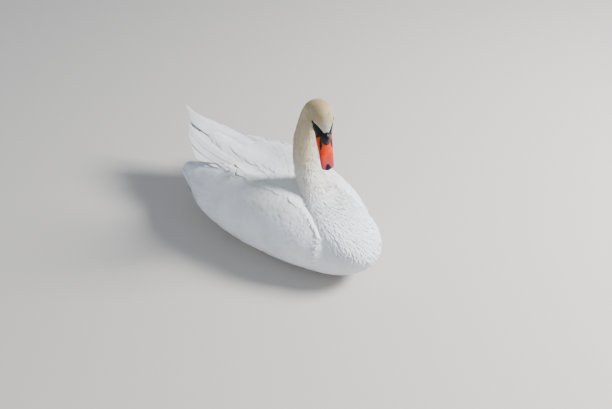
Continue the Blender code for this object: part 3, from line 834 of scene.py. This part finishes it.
def mantle_form(y, e):
    """The top of the back, at y before centring and at e from the right wing's edge (-1) to the left's (1).

    Between them x = e * edge_x, and z runs from the back's line to the wing's edge with
    smooth(0, 1, |e|), less trough * sin(pi * |e|) ** 2. Past them it lies over the wing.
    """
    y, e = np.broadcast_arrays(np.asarray(y, float), np.asarray(e, float))
    s = (y - WING[0][0]) / (WING[-1][0] - WING[0][0])
    far = np.abs(e)
    over = wing_form(1, s, MANTLE_EDGE + MANTLE_OVER * np.maximum(far - 1.0, 0.0))
    edge = over[..., 2]
    trough = np.interp(y, *np.array(TROUGH_AT).T) * np.sin(np.pi * np.minimum(far, 1.0)) ** 2
    trough = trough * np.where(e > 0.0, LEFT_TROUGH, 1.0)
    back = read_back(y)[..., 0]
    z = np.where(far < 1.0, back + (edge - back) * smooth(0.0, 1.0, far) - trough, edge)
    x = over[..., 0] * np.minimum(far, 1.0) * np.sign(e)
    return np.stack([x, y + CENTRING[1], z + MANTLE_ABOVE], axis=-1)


def on_mantle(y, e):
    """Point, upward normal and forward direction of the mantle's form, and the OFBake place."""
    point, out, forward = compass(mantle_form, y, e, 0.002, 0.02)
    place = np.stack([0.25 + e * 0.08, 0.2 + y], axis=-1)
    return point, out * np.sign(out[:, 2:3]), forward, place


low, high = (MANTLE_FROM, -MANTLE_WIDE), (MANTLE_TO, MANTLE_WIDE)
y, e = scatter(mantle_form, low, high, lambda y, e: MANTLE_SPACING + 0 * y, MANTLE_TRIES, 7)
chance = np.random.default_rng(8)
point, out, forward, roots = on_mantle(y, e)
yaw = chance.normal(0.0, MANTLE_YAW, len(y))[:, None]
back = unit(-forward * np.cos(yaw) + np.cross(out, forward) * np.sin(yaw))
length = np.interp(y, MANTLE_LONG_AT, MANTLE_LONG) * chance.uniform(*LONG_BY_CHANCE, len(y))
end = np.where(np.abs(e) > SIDES_FROM, OUTER_END, INNER_END) - chance.uniform(0.0, RAGGED_END, len(y))
length = np.minimum(length, end - y)
kept = length > MANTLE_SHORTEST
y, e, point, out, back, length, roots = (x[kept] for x in (y, e, point, out, back, length, roots))
width = np.interp(y, MANTLE_WIDTH_AT, MANTLE_WIDTH)
bend = curvatures(mantle_form, y, e, point, out, 0.02, 0.25)
tip_lift = chance.uniform(0.0, MANTLE_LOOSE, len(y)) - MANTLE_FLAT * smooth(SIDES_FROM, SIDES_TO, np.abs(e))
lay_vanes("mantle", roots, (point, out, back), (length, width), (MANTLE_ROOT, tip_lift), bend, 0.6, 0.0004)

# ---- Tertials ------------------------------------------------------------------------
# The long inner feathers of each wing. They lie side by side from under the mantle, over
# the roots of the flight feathers and the space beside the rump.
TERTIAL_ROOTS = np.linspace(0.35, 1.45, 10)  # places across the back, in distances to a wing's edge
TERTIAL_Y, TERTIAL_LONG, TERTIAL_WIDE = (0.135, 0.150), (0.115, 0.070), 0.0150
TERTIAL_ROOT, TERTIAL_TIP = -0.003, (-0.0035, -0.0040)  # lift over the mantle's form
TERTIAL_SHARES = np.linspace(0.0, 1.0, 12)
for hand, side in EYE_SIDES.items():
    y = np.interp(TERTIAL_ROOTS, TERTIAL_ROOTS[[0, -1]], TERTIAL_Y)
    point, out, forward, roots = on_mantle(y, side * TERTIAL_ROOTS)
    length = np.interp(TERTIAL_ROOTS, TERTIAL_ROOTS[[0, -1]], TERTIAL_LONG)
    bend = curvatures(mantle_form, y, side * TERTIAL_ROOTS, point, out, 0.03, 0.2)
    widths = vane_width(TERTIAL_SHARES * 0.985, 0.55, 0.6)
    lift = (TERTIAL_ROOT, np.linspace(*TERTIAL_TIP, len(y)))
    lay_feathers(
        "tertials_" + hand, "white_plumage", roots, VANE_SECTION, (point, out, -forward),
        (length, TERTIAL_WIDE), lift, bend, TERTIAL_SHARES, widths, 0.0005,
    )

# ---- Loose down ----------------------------------------------------------------------
# A small tuft of downy feathers that has worked loose on the ridge of the right wing. They
# are narrow soft vanes that grow from one spot and fan out over the edge.
TUFT_COUNT, TUFT_AT, TUFT_SPREAD = 34, (0.116, -0.86), (0.006, 0.12)
TUFT_YAW, TUFT_FAN = -0.60, 0.32  # how far its feathers turn from straight out, and fan apart
TUFT_LONG, TUFT_WIDE, TUFT_LIFT = (0.022, 0.042), (0.0011, 0.0026), (0.003, 0.012)
TUFT_ROOT, TUFT_DROOP = -0.001, 20.0
TUFT_SHARES = np.linspace(0.0, 1.0, 6)
chance = np.random.default_rng(31)
y = TUFT_AT[0] + TUFT_SPREAD[0] * chance.normal(0.0, 1.0, TUFT_COUNT)
e = TUFT_AT[1] + TUFT_SPREAD[1] * chance.normal(0.0, 1.0, TUFT_COUNT)
point, out, forward, roots = on_mantle(y, e)
outward_way = np.cross(out, forward)
outward_way = outward_way * np.sign(-outward_way[:, :1])
yaw = chance.normal(TUFT_YAW, TUFT_FAN, TUFT_COUNT)[:, None]
back = unit(outward_way * np.cos(yaw) - forward * np.sin(yaw))
size = (chance.uniform(*TUFT_LONG, TUFT_COUNT), chance.uniform(*TUFT_WIDE, TUFT_COUNT))
lift = (TUFT_ROOT, chance.uniform(*TUFT_LIFT, TUFT_COUNT))
widths = vane_width(TUFT_SHARES * 0.98, 0.3, 0.8)
lay_feathers(
    "loose_down", "white_plumage", roots, LENS_SECTION, (point, out, back),
    size, lift, (TUFT_DROOP, 0.0), TUFT_SHARES, widths, 0.0003,
)

# ---- Flight feathers and tail --------------------------------------------------------
# The stiff quills: each wing's folded primaries, crossed low over the rump with their
# points raised, and the short wedge of the tail under them. Each is a shaft with a
# cambered vane, narrow and pointed in the wing and blunt in the tail.
QUILL_SECTION = (
    (-1.0, 0.0), (-0.7, 0.35), (-0.35, 0.6), (-0.06, 0.8), (0.0, 1.6), (0.06, 0.8), (0.35, 0.6), (0.7, 0.35),
    (1.0, 0.0), (0.5, -0.4), (0.0, -0.7), (-0.5, -0.4),
)
# Blades: y, x, height, half width, thickness of the bundle.
PRIMARIES_LEFT = (
    (0.100, 0.0260, 0.173, 0.0240, 0.012),
    (0.160, 0.0285, 0.180, 0.0300, 0.011),
    (0.220, 0.0285, 0.183, 0.0325, 0.009),
    (0.280, 0.0220, 0.189, 0.0315, 0.007),
    (0.320, 0.0130, 0.199, 0.0290, 0.006),
    (0.365, 0.0045, 0.213, 0.0210, 0.005),
    (0.390, 0.0055, 0.221, 0.0110, 0.004),
    (0.408, 0.0085, 0.228, 0.0030, 0.002),
)
PRIMARIES_RIGHT = (
    (0.100, -0.0300, 0.171, 0.0240, 0.012),
    (0.180, -0.0370, 0.178, 0.0310, 0.010),
    (0.250, -0.0390, 0.181, 0.0325, 0.008),
    (0.310, -0.0385, 0.195, 0.0225, 0.006),
    (0.333, -0.0345, 0.204, 0.0125, 0.004),
    (0.350, -0.0305, 0.212, 0.0030, 0.002),
)
SECONDARIES_RIGHT = (
    (0.150, -0.0400, 0.1760, 0.0220, 0.003),
    (0.200, -0.0460, 0.1775, 0.0270, 0.003),
    (0.240, -0.0600, 0.1770, 0.0320, 0.003),
    (0.275, -0.0530, 0.1825, 0.0260, 0.003),
    (0.300, -0.0500, 0.1885, 0.0180, 0.002),
    (0.322, -0.0450, 0.1950, 0.0070, 0.001),
)
TAIL = (
    (0.240, 0.000, 0.142, 0.052, 0.014),
    (0.275, 0.000, 0.147, 0.058, 0.012),
    (0.310, 0.000, 0.164, 0.050, 0.008),
    (0.350, 0.000, 0.180, 0.030, 0.005),
    (0.376, 0.000, 0.192, 0.006, 0.002),
)
QUILL_RINGS = 16
QUILL_THICK, QUILL_CAMBER = 0.0006, 0.10


def quills(blade, sides, tips, shape, layers):
    """A bundle of quills laid side by side in a blade, (feather, ring, corner, 3).

    Quill n runs along y from the blade's root to its own tip, at a share `sides[n]` of the
    blade's half width from its middle, and at a share `layers[n]` of its thickness above
    it. Across it, P = middle + X * w * x + Z * (T z - camber * w * x ** 2). Its shape is the
    half width, where the tip begins and the power by which it rounds off.
    """
    half_width, tip_from, power = shape
    table = np.array(blade)
    read = spline(table[:, 0], table[:, 1:])
    t = np.linspace(0.0, 1.0, QUILL_RINGS) ** 0.9
    sides, tips, layers = (np.asarray(v, float)[:, None] for v in (sides, tips, layers))
    y = table[0, 0] + t[None, :] * (tips - table[0, 0])
    x, z, wide, thick = np.moveaxis(read(y), -1, 0)
    w = (half_width * vane_width(t * 0.995, tip_from, power, 0.6))[None, :]
    middle_x = x + sides * np.maximum(wide - w * 0.9, 0.0)
    across, up = np.array(QUILL_SECTION)[:, 0], np.array(QUILL_SECTION)[:, 1]
    px = middle_x[..., None] + w[..., None] * across
    pz = (z + layers * thick)[..., None] + QUILL_THICK * up - QUILL_CAMBER * w[..., None] * across**2
    points = np.stack([px, np.broadcast_to(y[..., None], px.shape), pz], axis=-1)
    return points + CENTRING


quill_paint = Paint("quill_finish", Roughness=0.55, Sheen_Weight=0.1, Sheen_Roughness=0.5)
quill_vane = quill_paint.vane()
vane_split = quill_paint.node("ShaderNodeSeparateXYZ", {}, [quill_vane], "X")
from_shaft = (vane_split - 0.5).math("ABSOLUTE")
vane_along = quill_paint.node("ShaderNodeSeparateXYZ", {}, [quill_vane], "Y")
barb_lines = ((vane_along * 120.0 - from_shaft * 60.0) * (2 * math.pi)).math("SINE")
barb_noise = quill_paint.noise(quill_paint.scaled(quill_vane, (40.0, 6.0, 1.0)), 1.0)
quill_finish = quill_paint.shade(
    Base_Color=plumage_colour(quill_paint),
    Normal=quill_paint.bump(barb_lines * 0.5 + barb_noise, 0.0002),
)
TAIL_FAN = np.linspace(-1.0, 1.0, 14)
TAIL_END, TAIL_STEP = 0.376, 0.052  # y that its middle quills reach, and how much less its outer ones do
BUNDLES = (  # name, blade, nodes, shape; then each quill's place aside, end and layer
    (
        "primary_quills_left", PRIMARIES_LEFT, ("primaries_left",), (0.0135, 0.55, 0.85),
        (0.95, 0.70, 0.45, 0.20, -0.05, -0.30, -0.55, -0.80, -1.00, 0.05),
        (0.300, 0.338, 0.366, 0.390, 0.402, 0.396, 0.386, 0.374, 0.360, 0.408),
        (0.0, 0.12, 0.25, 0.38, 0.5, 0.4, 0.28, 0.16, 0.05, 0.62),
    ),
    (
        "primary_quills_right", PRIMARIES_RIGHT, ("primaries_right",), (0.0135, 0.55, 0.85),
        (-1.00, -0.70, -0.40, -0.10, 0.20, 0.50, 0.80, 1.00),
        (0.322, 0.334, 0.343, 0.350, 0.344, 0.330, 0.312, 0.290),
        (0.0, 0.15, 0.3, 0.55, 0.45, 0.3, 0.15, 0.05),
    ),
    (
        "secondary_quills_right", SECONDARIES_RIGHT, (), (0.0150, 0.70, 0.5),
        (-1.00, -0.62, -0.24, 0.14, 0.52, 0.90),
        (0.288, 0.302, 0.313, 0.322, 0.316, 0.304),
        (-0.3, 0.0, 0.3, 0.6, 0.3, 0.0),
    ),
    (
        "tail_quills", TAIL, ("tail",), (0.0125, 0.75, 0.5),
        TAIL_FAN, TAIL_END - TAIL_STEP * np.abs(TAIL_FAN) ** 1.3, 0.45 - 0.5 * np.abs(TAIL_FAN),
    ),
)
for name, blade, nodes, shape, sides, tips, layers in BUNDLES:
    count = len(sides)
    strips = [((n / count, 0.0), ((n + 0.94) / count, 1.0)) for n in range(count)]
    vane = np.tile(grid_uv(QUILL_RINGS, len(QUILL_SECTION)), (count, 1))
    feathers = list(quills(blade, sides, tips, shape, layers))
    grid_piece(name, feathers, quill_finish, "white_plumage", nodes, strips, vane)

# ---- Bill ----------------------------------------------------------------------------
# A flat strong bill of orange horn over bone, flushed pink towards its tip, with a black
# nail, black cutting edges and black skin that runs from the forehead round the nostrils
# and swells into the soft knob over its root.
BILL_UPPER = (
    (0.0240, 0.0080, -0.0272, 0.0194),
    (0.0420, 0.0060, -0.0260, 0.0193),
    (0.0580, 0.0005, -0.0240, 0.0181),
    (0.0760, -0.0060, -0.0224, 0.0167),
    (0.0930, -0.0110, -0.0214, 0.0164),
    (0.1055, -0.0145, -0.0217, 0.0152),
    (0.1135, -0.0165, -0.0225, 0.0112),
    (0.1165, -0.0185, -0.0230, 0.0064),
)
BILL_LOWER = (
    (0.0240, -0.0245, -0.0302, 0.0132),
    (0.0600, -0.0238, -0.0298, 0.0138),
    (0.0900, -0.0217, -0.0270, 0.0139),
    (0.1045, -0.0221, -0.0262, 0.0110),
    (0.1105, -0.0232, -0.0262, 0.0060),
)
KNOB_AT, KNOB_TALL = 0.0405, 0.0125
CULMEN_HIGH, CULMEN_FALL = 0.0205, 0.345  # the top line: up = high - fall * forward
NOSTRIL_AT, NOSTRIL_SIZE = (0.0580, 0.0058), (0.0080, 0.0019)  # forward and below the top line
NOSTRIL_DEEP = 0.0020
KNOB_FOOT = (0.0178, 0.0138)  # how far its foot spreads, along and aside
KNOB_POWERS = (2.4, 1.5)
ROOT_SLIM, SLIM_OVER = 0.96, (0.022, 0.042)  # how slim the bill is where it springs from the head
ROOF_POWER, TIP_POWER, LOW_POWER = 1.36, 0.72, 0.42  # of the sections: a roof at the root, square below
POWER_OVER = (0.045, 0.090)  # forward, from the root's section to the tip's
RING_POWER, TIP_GAP = 1.3, 0.00002  # how its rings draw together, and where the last one is
TIP_ROUND = 0.0045  # how far the tip takes to round off
BILL_ASKEW = -0.035  # how far it leans aside for each metre forward


def bill_form(stations, f, a, upper=False):
    """Half of the bill, at f forward and at the angle a round it: flattened ovals.

    x = width * sgn(sin a) |sin a| ** n + askew * (f - first f), up = middle + half height *
    sgn(cos a) |cos a| ** n, both shrinking to the tip by sqrt(1 - (1 - left / round) ** 2). The
    power n runs from the root's to the tip's, and is less on the upper half's underside. There
    too, the nostrils are drawn in by deep * exp(-d ** 4), with d the distance in nostril sizes,
    and the knob rises by tall * (1 - d ** p) ** q, with d the distance in sizes of its foot.
    """
    table = np.array(stations)
    f, a = np.broadcast_arrays(f, a)
    top, bottom, half = np.moveaxis(spline(table[:, 0], table[:, 1:])(f), -1, 0)
    left = np.clip((table[-1, 0] - f) / TIP_ROUND, 0.0, 1.0)
    rounding = np.sqrt(1.0 - (1.0 - left) ** 2) * (ROOT_SLIM + (1.0 - ROOT_SLIM) * smooth(*SLIM_OVER, f))
    root_power = ROOF_POWER if upper else 1.0
    power = root_power + (TIP_POWER - root_power) * smooth(*POWER_OVER, f)
    if upper:
        power = power + (LOW_POWER - power) * smooth(0.0, -0.5, np.cos(a))
    wide = np.sign(np.sin(a)) * np.abs(np.sin(a)) ** power
    tall = np.sign(np.cos(a)) * np.abs(np.cos(a)) ** power
    up = (top + bottom) / 2 + rounding * tall * (top - bottom) / 2
    x = rounding * half * wide
    if upper:
        below = CULMEN_HIGH - CULMEN_FALL * f - up
        d = np.hypot((f - NOSTRIL_AT[0]) / NOSTRIL_SIZE[0], (below - NOSTRIL_AT[1]) / NOSTRIL_SIZE[1])
        foot = np.minimum(np.hypot((f - KNOB_AT) / KNOB_FOOT[0], x / KNOB_FOOT[1]), 1.0)
        knob = KNOB_TALL * (1.0 - foot ** KNOB_POWERS[0]) ** KNOB_POWERS[1]
        up = up + np.where(np.cos(a) > 0.0, knob, 0.0)
        x = x - np.sign(x) * NOSTRIL_DEEP * np.exp(-(d**4))
    return on_head(f, up, x + BILL_ASKEW * (f - table[0, 0]))


def bill_grid(stations, count, around, upper=False):
    """The whole of a half of the bill, its rings closing up towards the tip."""
    first, last = stations[0][0], stations[-1][0]
    share = 1.0 - (1.0 - np.linspace(0.0, 1.0, count)) ** RING_POWER
    f = first + share * (last - TIP_GAP - first)
    a = np.linspace(0.0, 2 * math.pi, around, endpoint=False)
    return bill_form(stations, f[:, None], a[None, :], upper)


def ball(at, size, count, around):
    """An ellipsoid in the head's frame, its rings round the forward axis."""
    b = np.linspace(0.02, math.pi - 0.02, count)[:, None]
    a = np.linspace(0.0, 2 * math.pi, around, endpoint=False)[None, :]
    forward = at[0] + size[0] * np.cos(b) + 0 * a
    return on_head(forward, at[1] + size[2] * np.sin(b) * np.sin(a), at[2] + size[1] * np.sin(b) * np.cos(a))


def head_place(paint):
    """Forward, up and distance aside in the head's frame, as values for a material."""
    off = from_eyes(paint)
    forward, up, aside = (paint.part_of(off, tuple(axis)) for axis in (FORWARD, UPWARD, ASIDE))
    return forward, up, aside.math("ABSOLUTE")


ORANGE, DEEP_ORANGE, PINK = (0.70, 0.047, 0.001, 1.0), (0.54, 0.024, 0.001, 1.0), (0.34, 0.050, 0.075, 1.0)
LOBE_LONG, LOBE_WIDE = 0.0175, 0.0135  # the black lobe under the knob, about its middle
STREAK_AT, STREAK_SIZE = 0.0520, (0.0155, 0.0022)  # the black streak from the root through each nostril
EDGE_RISE, EDGE_HIGH = -0.050, -0.0245  # the top of the black cutting edge
LOBE_EDGE, LOBE_RAGGED, LOBE_UNDER = (0.94, 1.06), 30.0, 2.0  # how sharp, ragged and low it ends
BASE_FROM, BASE_TO = 0.0365, 0.0375  # the edge of the black skin at the root
PINK_FROM, PINK_TO, PINK_SHARE = 0.080, 0.102, 0.9
SOFT_BLACK = (0.030, 0.029, 0.030, 1.0)
horn = Paint("bill_finish", Roughness=0.42, Specular_IOR_Level=0.32)
forward, up, aside = head_place(horn)
grain = horn.noise(horn.place(), 420.0)
mottle = horn.noise(horn.place(), 90.0)
colour = horn.mix(mottle.rising(0.35, 0.75), ORANGE, DEEP_ORANGE)
flush = (forward + (mottle - 0.5) * 0.02).rising(PINK_FROM, PINK_TO) * PINK_SHARE
colour = horn.mix(flush, colour, PINK)
below = CULMEN_HIGH - forward * CULMEN_FALL - up  # depth below the top line
slit_long = ((forward - STREAK_AT) / STREAK_SIZE[0]).math("POWER", 2.0)
slit_tall = ((below - NOSTRIL_AT[1]) / STREAK_SIZE[1]).math("POWER", 2.0)
lobe = ((forward - KNOB_AT) / LOBE_LONG).math("POWER", 2.0) + (aside / LOBE_WIDE).math("POWER", 2.0)
ragged = (mottle - 0.5) * 0.004
saddle = 1.0 - (lobe + ragged * LOBE_RAGGED + up.rising(0.0, -0.010) * LOBE_UNDER).rising(*LOBE_EDGE)
base = 1.0 - (forward + ragged * 0.5).rising(BASE_FROM, BASE_TO)
edge = 1.0 - (up + forward * EDGE_RISE - EDGE_HIGH + ragged * 0.3).rising(-0.0004, 0.0004)
dark = 1.0 - (slit_long + slit_tall).rising(0.85, 1.1)
for other in (saddle, base, edge):
    dark = dark.math("MAXIMUM", other)
bill_finish = horn.shade(
    Base_Color=horn.mix(dark, colour, BLACK),
    Roughness=0.30 + grain * 0.16,
    Normal=horn.bump(grain + mottle * 0.6, 0.00025),
)
black_skin = Paint("black_skin_finish", Roughness=0.45, Specular_IOR_Level=0.3)
pores = black_skin.noise(black_skin.place(), 1100.0)
black_skin_finish = black_skin.shade(
    Base_Color=black_skin.mix(pores.rising(0.4, 0.8), BLACK, SOFT_BLACK),
    Normal=black_skin.bump(pores, 0.0002),
)
upper, lower = bill_grid(BILL_UPPER, 130, 120, True), bill_grid(BILL_LOWER, 50, 40)
for name, grid, finish, slot, nodes in (
    ("bill_upper_horn", upper, bill_finish, "orange_bill", ("bill_upper", "bill_knob")),
    ("bill_lower_horn", lower, black_skin_finish, "black_skin", ("bill_lower",)),
):
    grid_piece(name, [grid], finish, slot, nodes)

NAIL_FROM, NAIL_TO = 0.1010, 0.1164  # forward
NAIL_HALF = 0.50  # its half angle round the bill
NAIL_PROUD, NAIL_DEEP = 0.0007, 0.0010  # how far it stands out of the horn, and reaches into it
t, side = np.linspace(0.0, 1.0, 26)[:, None], np.linspace(-1.0, 1.0, 25)[None, :]
f = NAIL_FROM + t * (NAIL_TO - NAIL_FROM)
reach = NAIL_HALF * np.clip(t, 0.002, 1.0) ** 0.7 * side
dome = NAIL_PROUD * (1 - side**4) * np.sqrt(np.clip(t * 4, 0.0, 1.0))
surface = bill_form(BILL_UPPER, f, reach, True)
middle = bill_form(BILL_UPPER, f, 0.0 * reach, True) - UPWARD * 0.003
nail = surface + unit(surface - middle + UPWARD * 0.002) * (dome + 0.00005)[..., None]
under = surface - UPWARD * NAIL_DEEP
nail_grid = np.concatenate([nail, under[:, ::-1]], axis=1)
grid_piece("nail", [nail_grid], black_skin_finish, "black_skin", ("bill_nail",))

# ---- Eyes ----------------------------------------------------------------------------
# Small wet dark brown eyes, sunk into the head as whole balls. Each looks out through the
# lengthwise opening of a ring of bare black lid, which lies on the ball.
EYE_SUNK = 0.0010  # how much deeper than their solids the eyeballs lie
LID_PROUD, LID_DEEP = 0.0007, 0.0005  # how far a lid stands over the eyeball, and reaches under its skin
LID_OPEN = (math.radians(37.0), math.radians(29.0))  # half the opening's angle, along and up
LID_ROOT = math.radians(84.0)  # the angle from the eye's axis where a lid meets the face
LID_ROUNDS, LID_AROUND = 48, 14
LOOKS_FORWARD, LOOKS_UP = 0.10, 0.05  # how far an eye turns from straight aside
IRIS, BRIGHT_IRIS = (0.018, 0.009, 0.005, 1.0), (0.045, 0.022, 0.012, 1.0)
eye_paint = Paint("eye_finish", Roughness=0.12, Specular_IOR_Level=0.25, Coat_Weight=0.6, Coat_Roughness=0.02)
iris = eye_paint.noise(eye_paint.place(), 600.0)
eye_finish = eye_paint.shade(
    Base_Color=eye_paint.mix(iris.rising(0.3, 0.8), IRIS, BRIGHT_IRIS),
)
for hand, side in EYE_SIDES.items():
    eye_aside = side * (EYES_APART / 2 - EYE_SUNK)
    eyeball = ball((0.0, 0.0, eye_aside), (EYE_RADIUS,) * 3, 24, 32)
    grid_piece("eyeball_" + hand, [eyeball], eye_finish, "eye", ("eye_" + hand,))
    axis = unit(ASIDE * side + FORWARD * LOOKS_FORWARD + UPWARD * LOOKS_UP)
    long_way = unit(FORWARD - axis * (FORWARD @ axis))
    tall_way = np.cross(axis, long_way)
    b = np.linspace(0.0, 2 * math.pi, LID_ROUNDS + 1)[:LID_ROUNDS, None]
    opening = 1.0 / np.hypot(np.cos(b) / LID_OPEN[0], np.sin(b) / LID_OPEN[1])
    outer, inner = np.linspace(0.0, 1.0, LID_AROUND // 2), np.linspace(1.0, 0.0, LID_AROUND // 2)
    t = np.concatenate([outer, inner])[None, :]
    from_axis = (LID_ROOT + (opening - LID_ROOT) * t)[..., None]
    outside = np.arange(LID_AROUND)[None, :, None] < LID_AROUND // 2
    radius = EYE_RADIUS + np.where(outside, LID_PROUD, -LID_DEEP)
    ray = long_way * np.cos(b)[..., None] + tall_way * np.sin(b)[..., None]
    lid = on_head(0.0, 0.0, eye_aside) + (axis * np.cos(from_axis) + ray * np.sin(from_axis)) * radius
    quads, _ = grid_faces(LID_ROUNDS + 1, LID_AROUND)
    lid_faces = [[int(i) % (LID_ROUNDS * LID_AROUND) for i in f] for f in quads]
    if not face_outwards(lid.reshape(-1, 3), lid_faces):
        lid_faces = [f[::-1] for f in lid_faces]
    lid_uv = grid_uv(LID_ROUNDS + 1, LID_AROUND)[: len(quads) * 4]
    piece("lid_" + hand, lid, lid_faces, lid_uv, black_skin_finish, "black_skin")

# ---- Feet ----------------------------------------------------------------------------
# Folded under the belly: a scaly dark grey shank along the ground, three toes joined by
# webs, each with a short blunt claw.
SHANK = (
    (0.056, 0.130, 0.0090, 0.0050),
    (0.057, 0.122, 0.0085, 0.0090),
    (0.058, 0.100, 0.0080, 0.0085),
    (0.060, 0.070, 0.0075, 0.0075),
    (0.061, 0.040, 0.0075, 0.0075),
    (0.062, 0.010, 0.0075, 0.0075),
)
TOES = (  # far ends: aside, y
    (0.040, -0.088),
    (0.056, -0.098),
    (0.074, -0.086),
)
TOE_ROOT = (0.062, 0.006)
TOE_THICK = (0.0052, 0.0034)
CLAW_LONG, CLAW_THICK = 0.009, 0.0026
KNUCKLE, KNUCKLES = 0.08, 4
TOE_BLUNT = 20.0  # how soon a toe's end rounds off
WEB_FROM, WEB_TO, WEB_SLACK = 0.05, 0.93, 0.08  # shares of the way to the toes' ends, and its bays
WEB_TOP, WEB_UNDER = 0.0032, 0.0008
SCALE_DARK, SCALE_LIGHT = (0.014, 0.014, 0.016, 1.0), (0.050, 0.050, 0.054, 1.0)
scaly = Paint("foot_finish", Roughness=0.6)
scale_place = {"Vector": scaly.place(), "Scale": 420.0}
scales = scaly.node("ShaderNodeTexVoronoi", {"feature": "DISTANCE_TO_EDGE"}, scale_place, "Distance")
foot_finish = scaly.shade(
    Base_Color=scaly.mix(scales.rising(0.0, 0.12), SCALE_DARK, SCALE_LIGHT),
    Normal=scaly.bump(scales.rising(0.0, 0.15), 0.0006),
)


def tube(path, radii, around, knuckles=0.0, swells=0):
    """Rings square to a path, with knuckles: r * (1 + knuckles * cos(2 pi swells t))."""
    t = np.linspace(0.0, 1.0, len(path))
    along = np.gradient(path, axis=0)
    up = unit(np.cross(np.cross(along, (0.0, 0.0, 1.0)), along))
    right = unit(np.cross(along, up))
    a = np.linspace(0.0, 2 * math.pi, around, endpoint=False)[None, :, None]
    r = (radii * (1.0 + knuckles * np.cos(2 * math.pi * swells * t)))[:, None, None]
    points = path[:, None] + r * (right[:, None] * np.cos(a) + up[:, None] * np.sin(a))
    points[..., 2] = np.maximum(points[..., 2], HARD_GROUND)
    return points


for hand, side in EYE_SIDES.items():
    mirror = np.array((side, 1.0, 1.0))
    shank = spline(np.arange(len(SHANK)), SHANK)(np.linspace(0.0, len(SHANK) - 1, 40))
    shank_grid = tube(shank[:, :3] * mirror + CENTRING, shank[:, 3], 20)
    grid_piece("shank_" + hand, [shank_grid], foot_finish, "grey_skin", ("leg_" + hand,))
    grids = []
    t = np.linspace(0.0, 1.0, 28)[:, None]
    root = np.array((*TOE_ROOT, TOE_THICK[0]))
    for aside, y in TOES:
        tip = np.array((aside, y, TOE_THICK[1]))
        path = (root + (tip - root) * t) * mirror + CENTRING
        thick = TOE_THICK[0] + (TOE_THICK[1] - TOE_THICK[0]) * t[:, 0]
        blunt = np.sqrt(np.clip((1 - t[:, 0]) * TOE_BLUNT + 0.2, 0, 1))
        grids.append(tube(path, thick * blunt, 14, KNUCKLE, KNUCKLES))
        way = unit(tip - root)
        claw = tip + way * CLAW_LONG * np.linspace(-0.4, 1.0, 8)[:, None]
        grids.append(tube(claw * mirror + CENTRING, CLAW_THICK * (1 - np.linspace(0.0, 0.97, 8) ** 2), 10))
    t, across = np.linspace(WEB_FROM, WEB_TO, 24)[:, None], np.linspace(0.0, 1.0, 25)[None, :]
    inner, outer = np.array((*TOES[0], 0.0)), np.array((*TOES[2], 0.0))
    base = np.array((*TOE_ROOT, 0.0))
    ray = inner + (outer - inner) * across[..., None] - base
    web = base + ray * (t * (1.0 - WEB_SLACK * np.sin(2 * math.pi * across) ** 2))[..., None]
    over, under = web + np.array((0.0, 0.0, WEB_TOP)), web + np.array((0.0, 0.0, WEB_UNDER))
    grids.append(np.concatenate([over, under[:, ::-1]], axis=1) * mirror + CENTRING)
    grid_piece("webbed_foot_" + hand, grids, foot_finish, "grey_skin", ("foot_" + hand,))
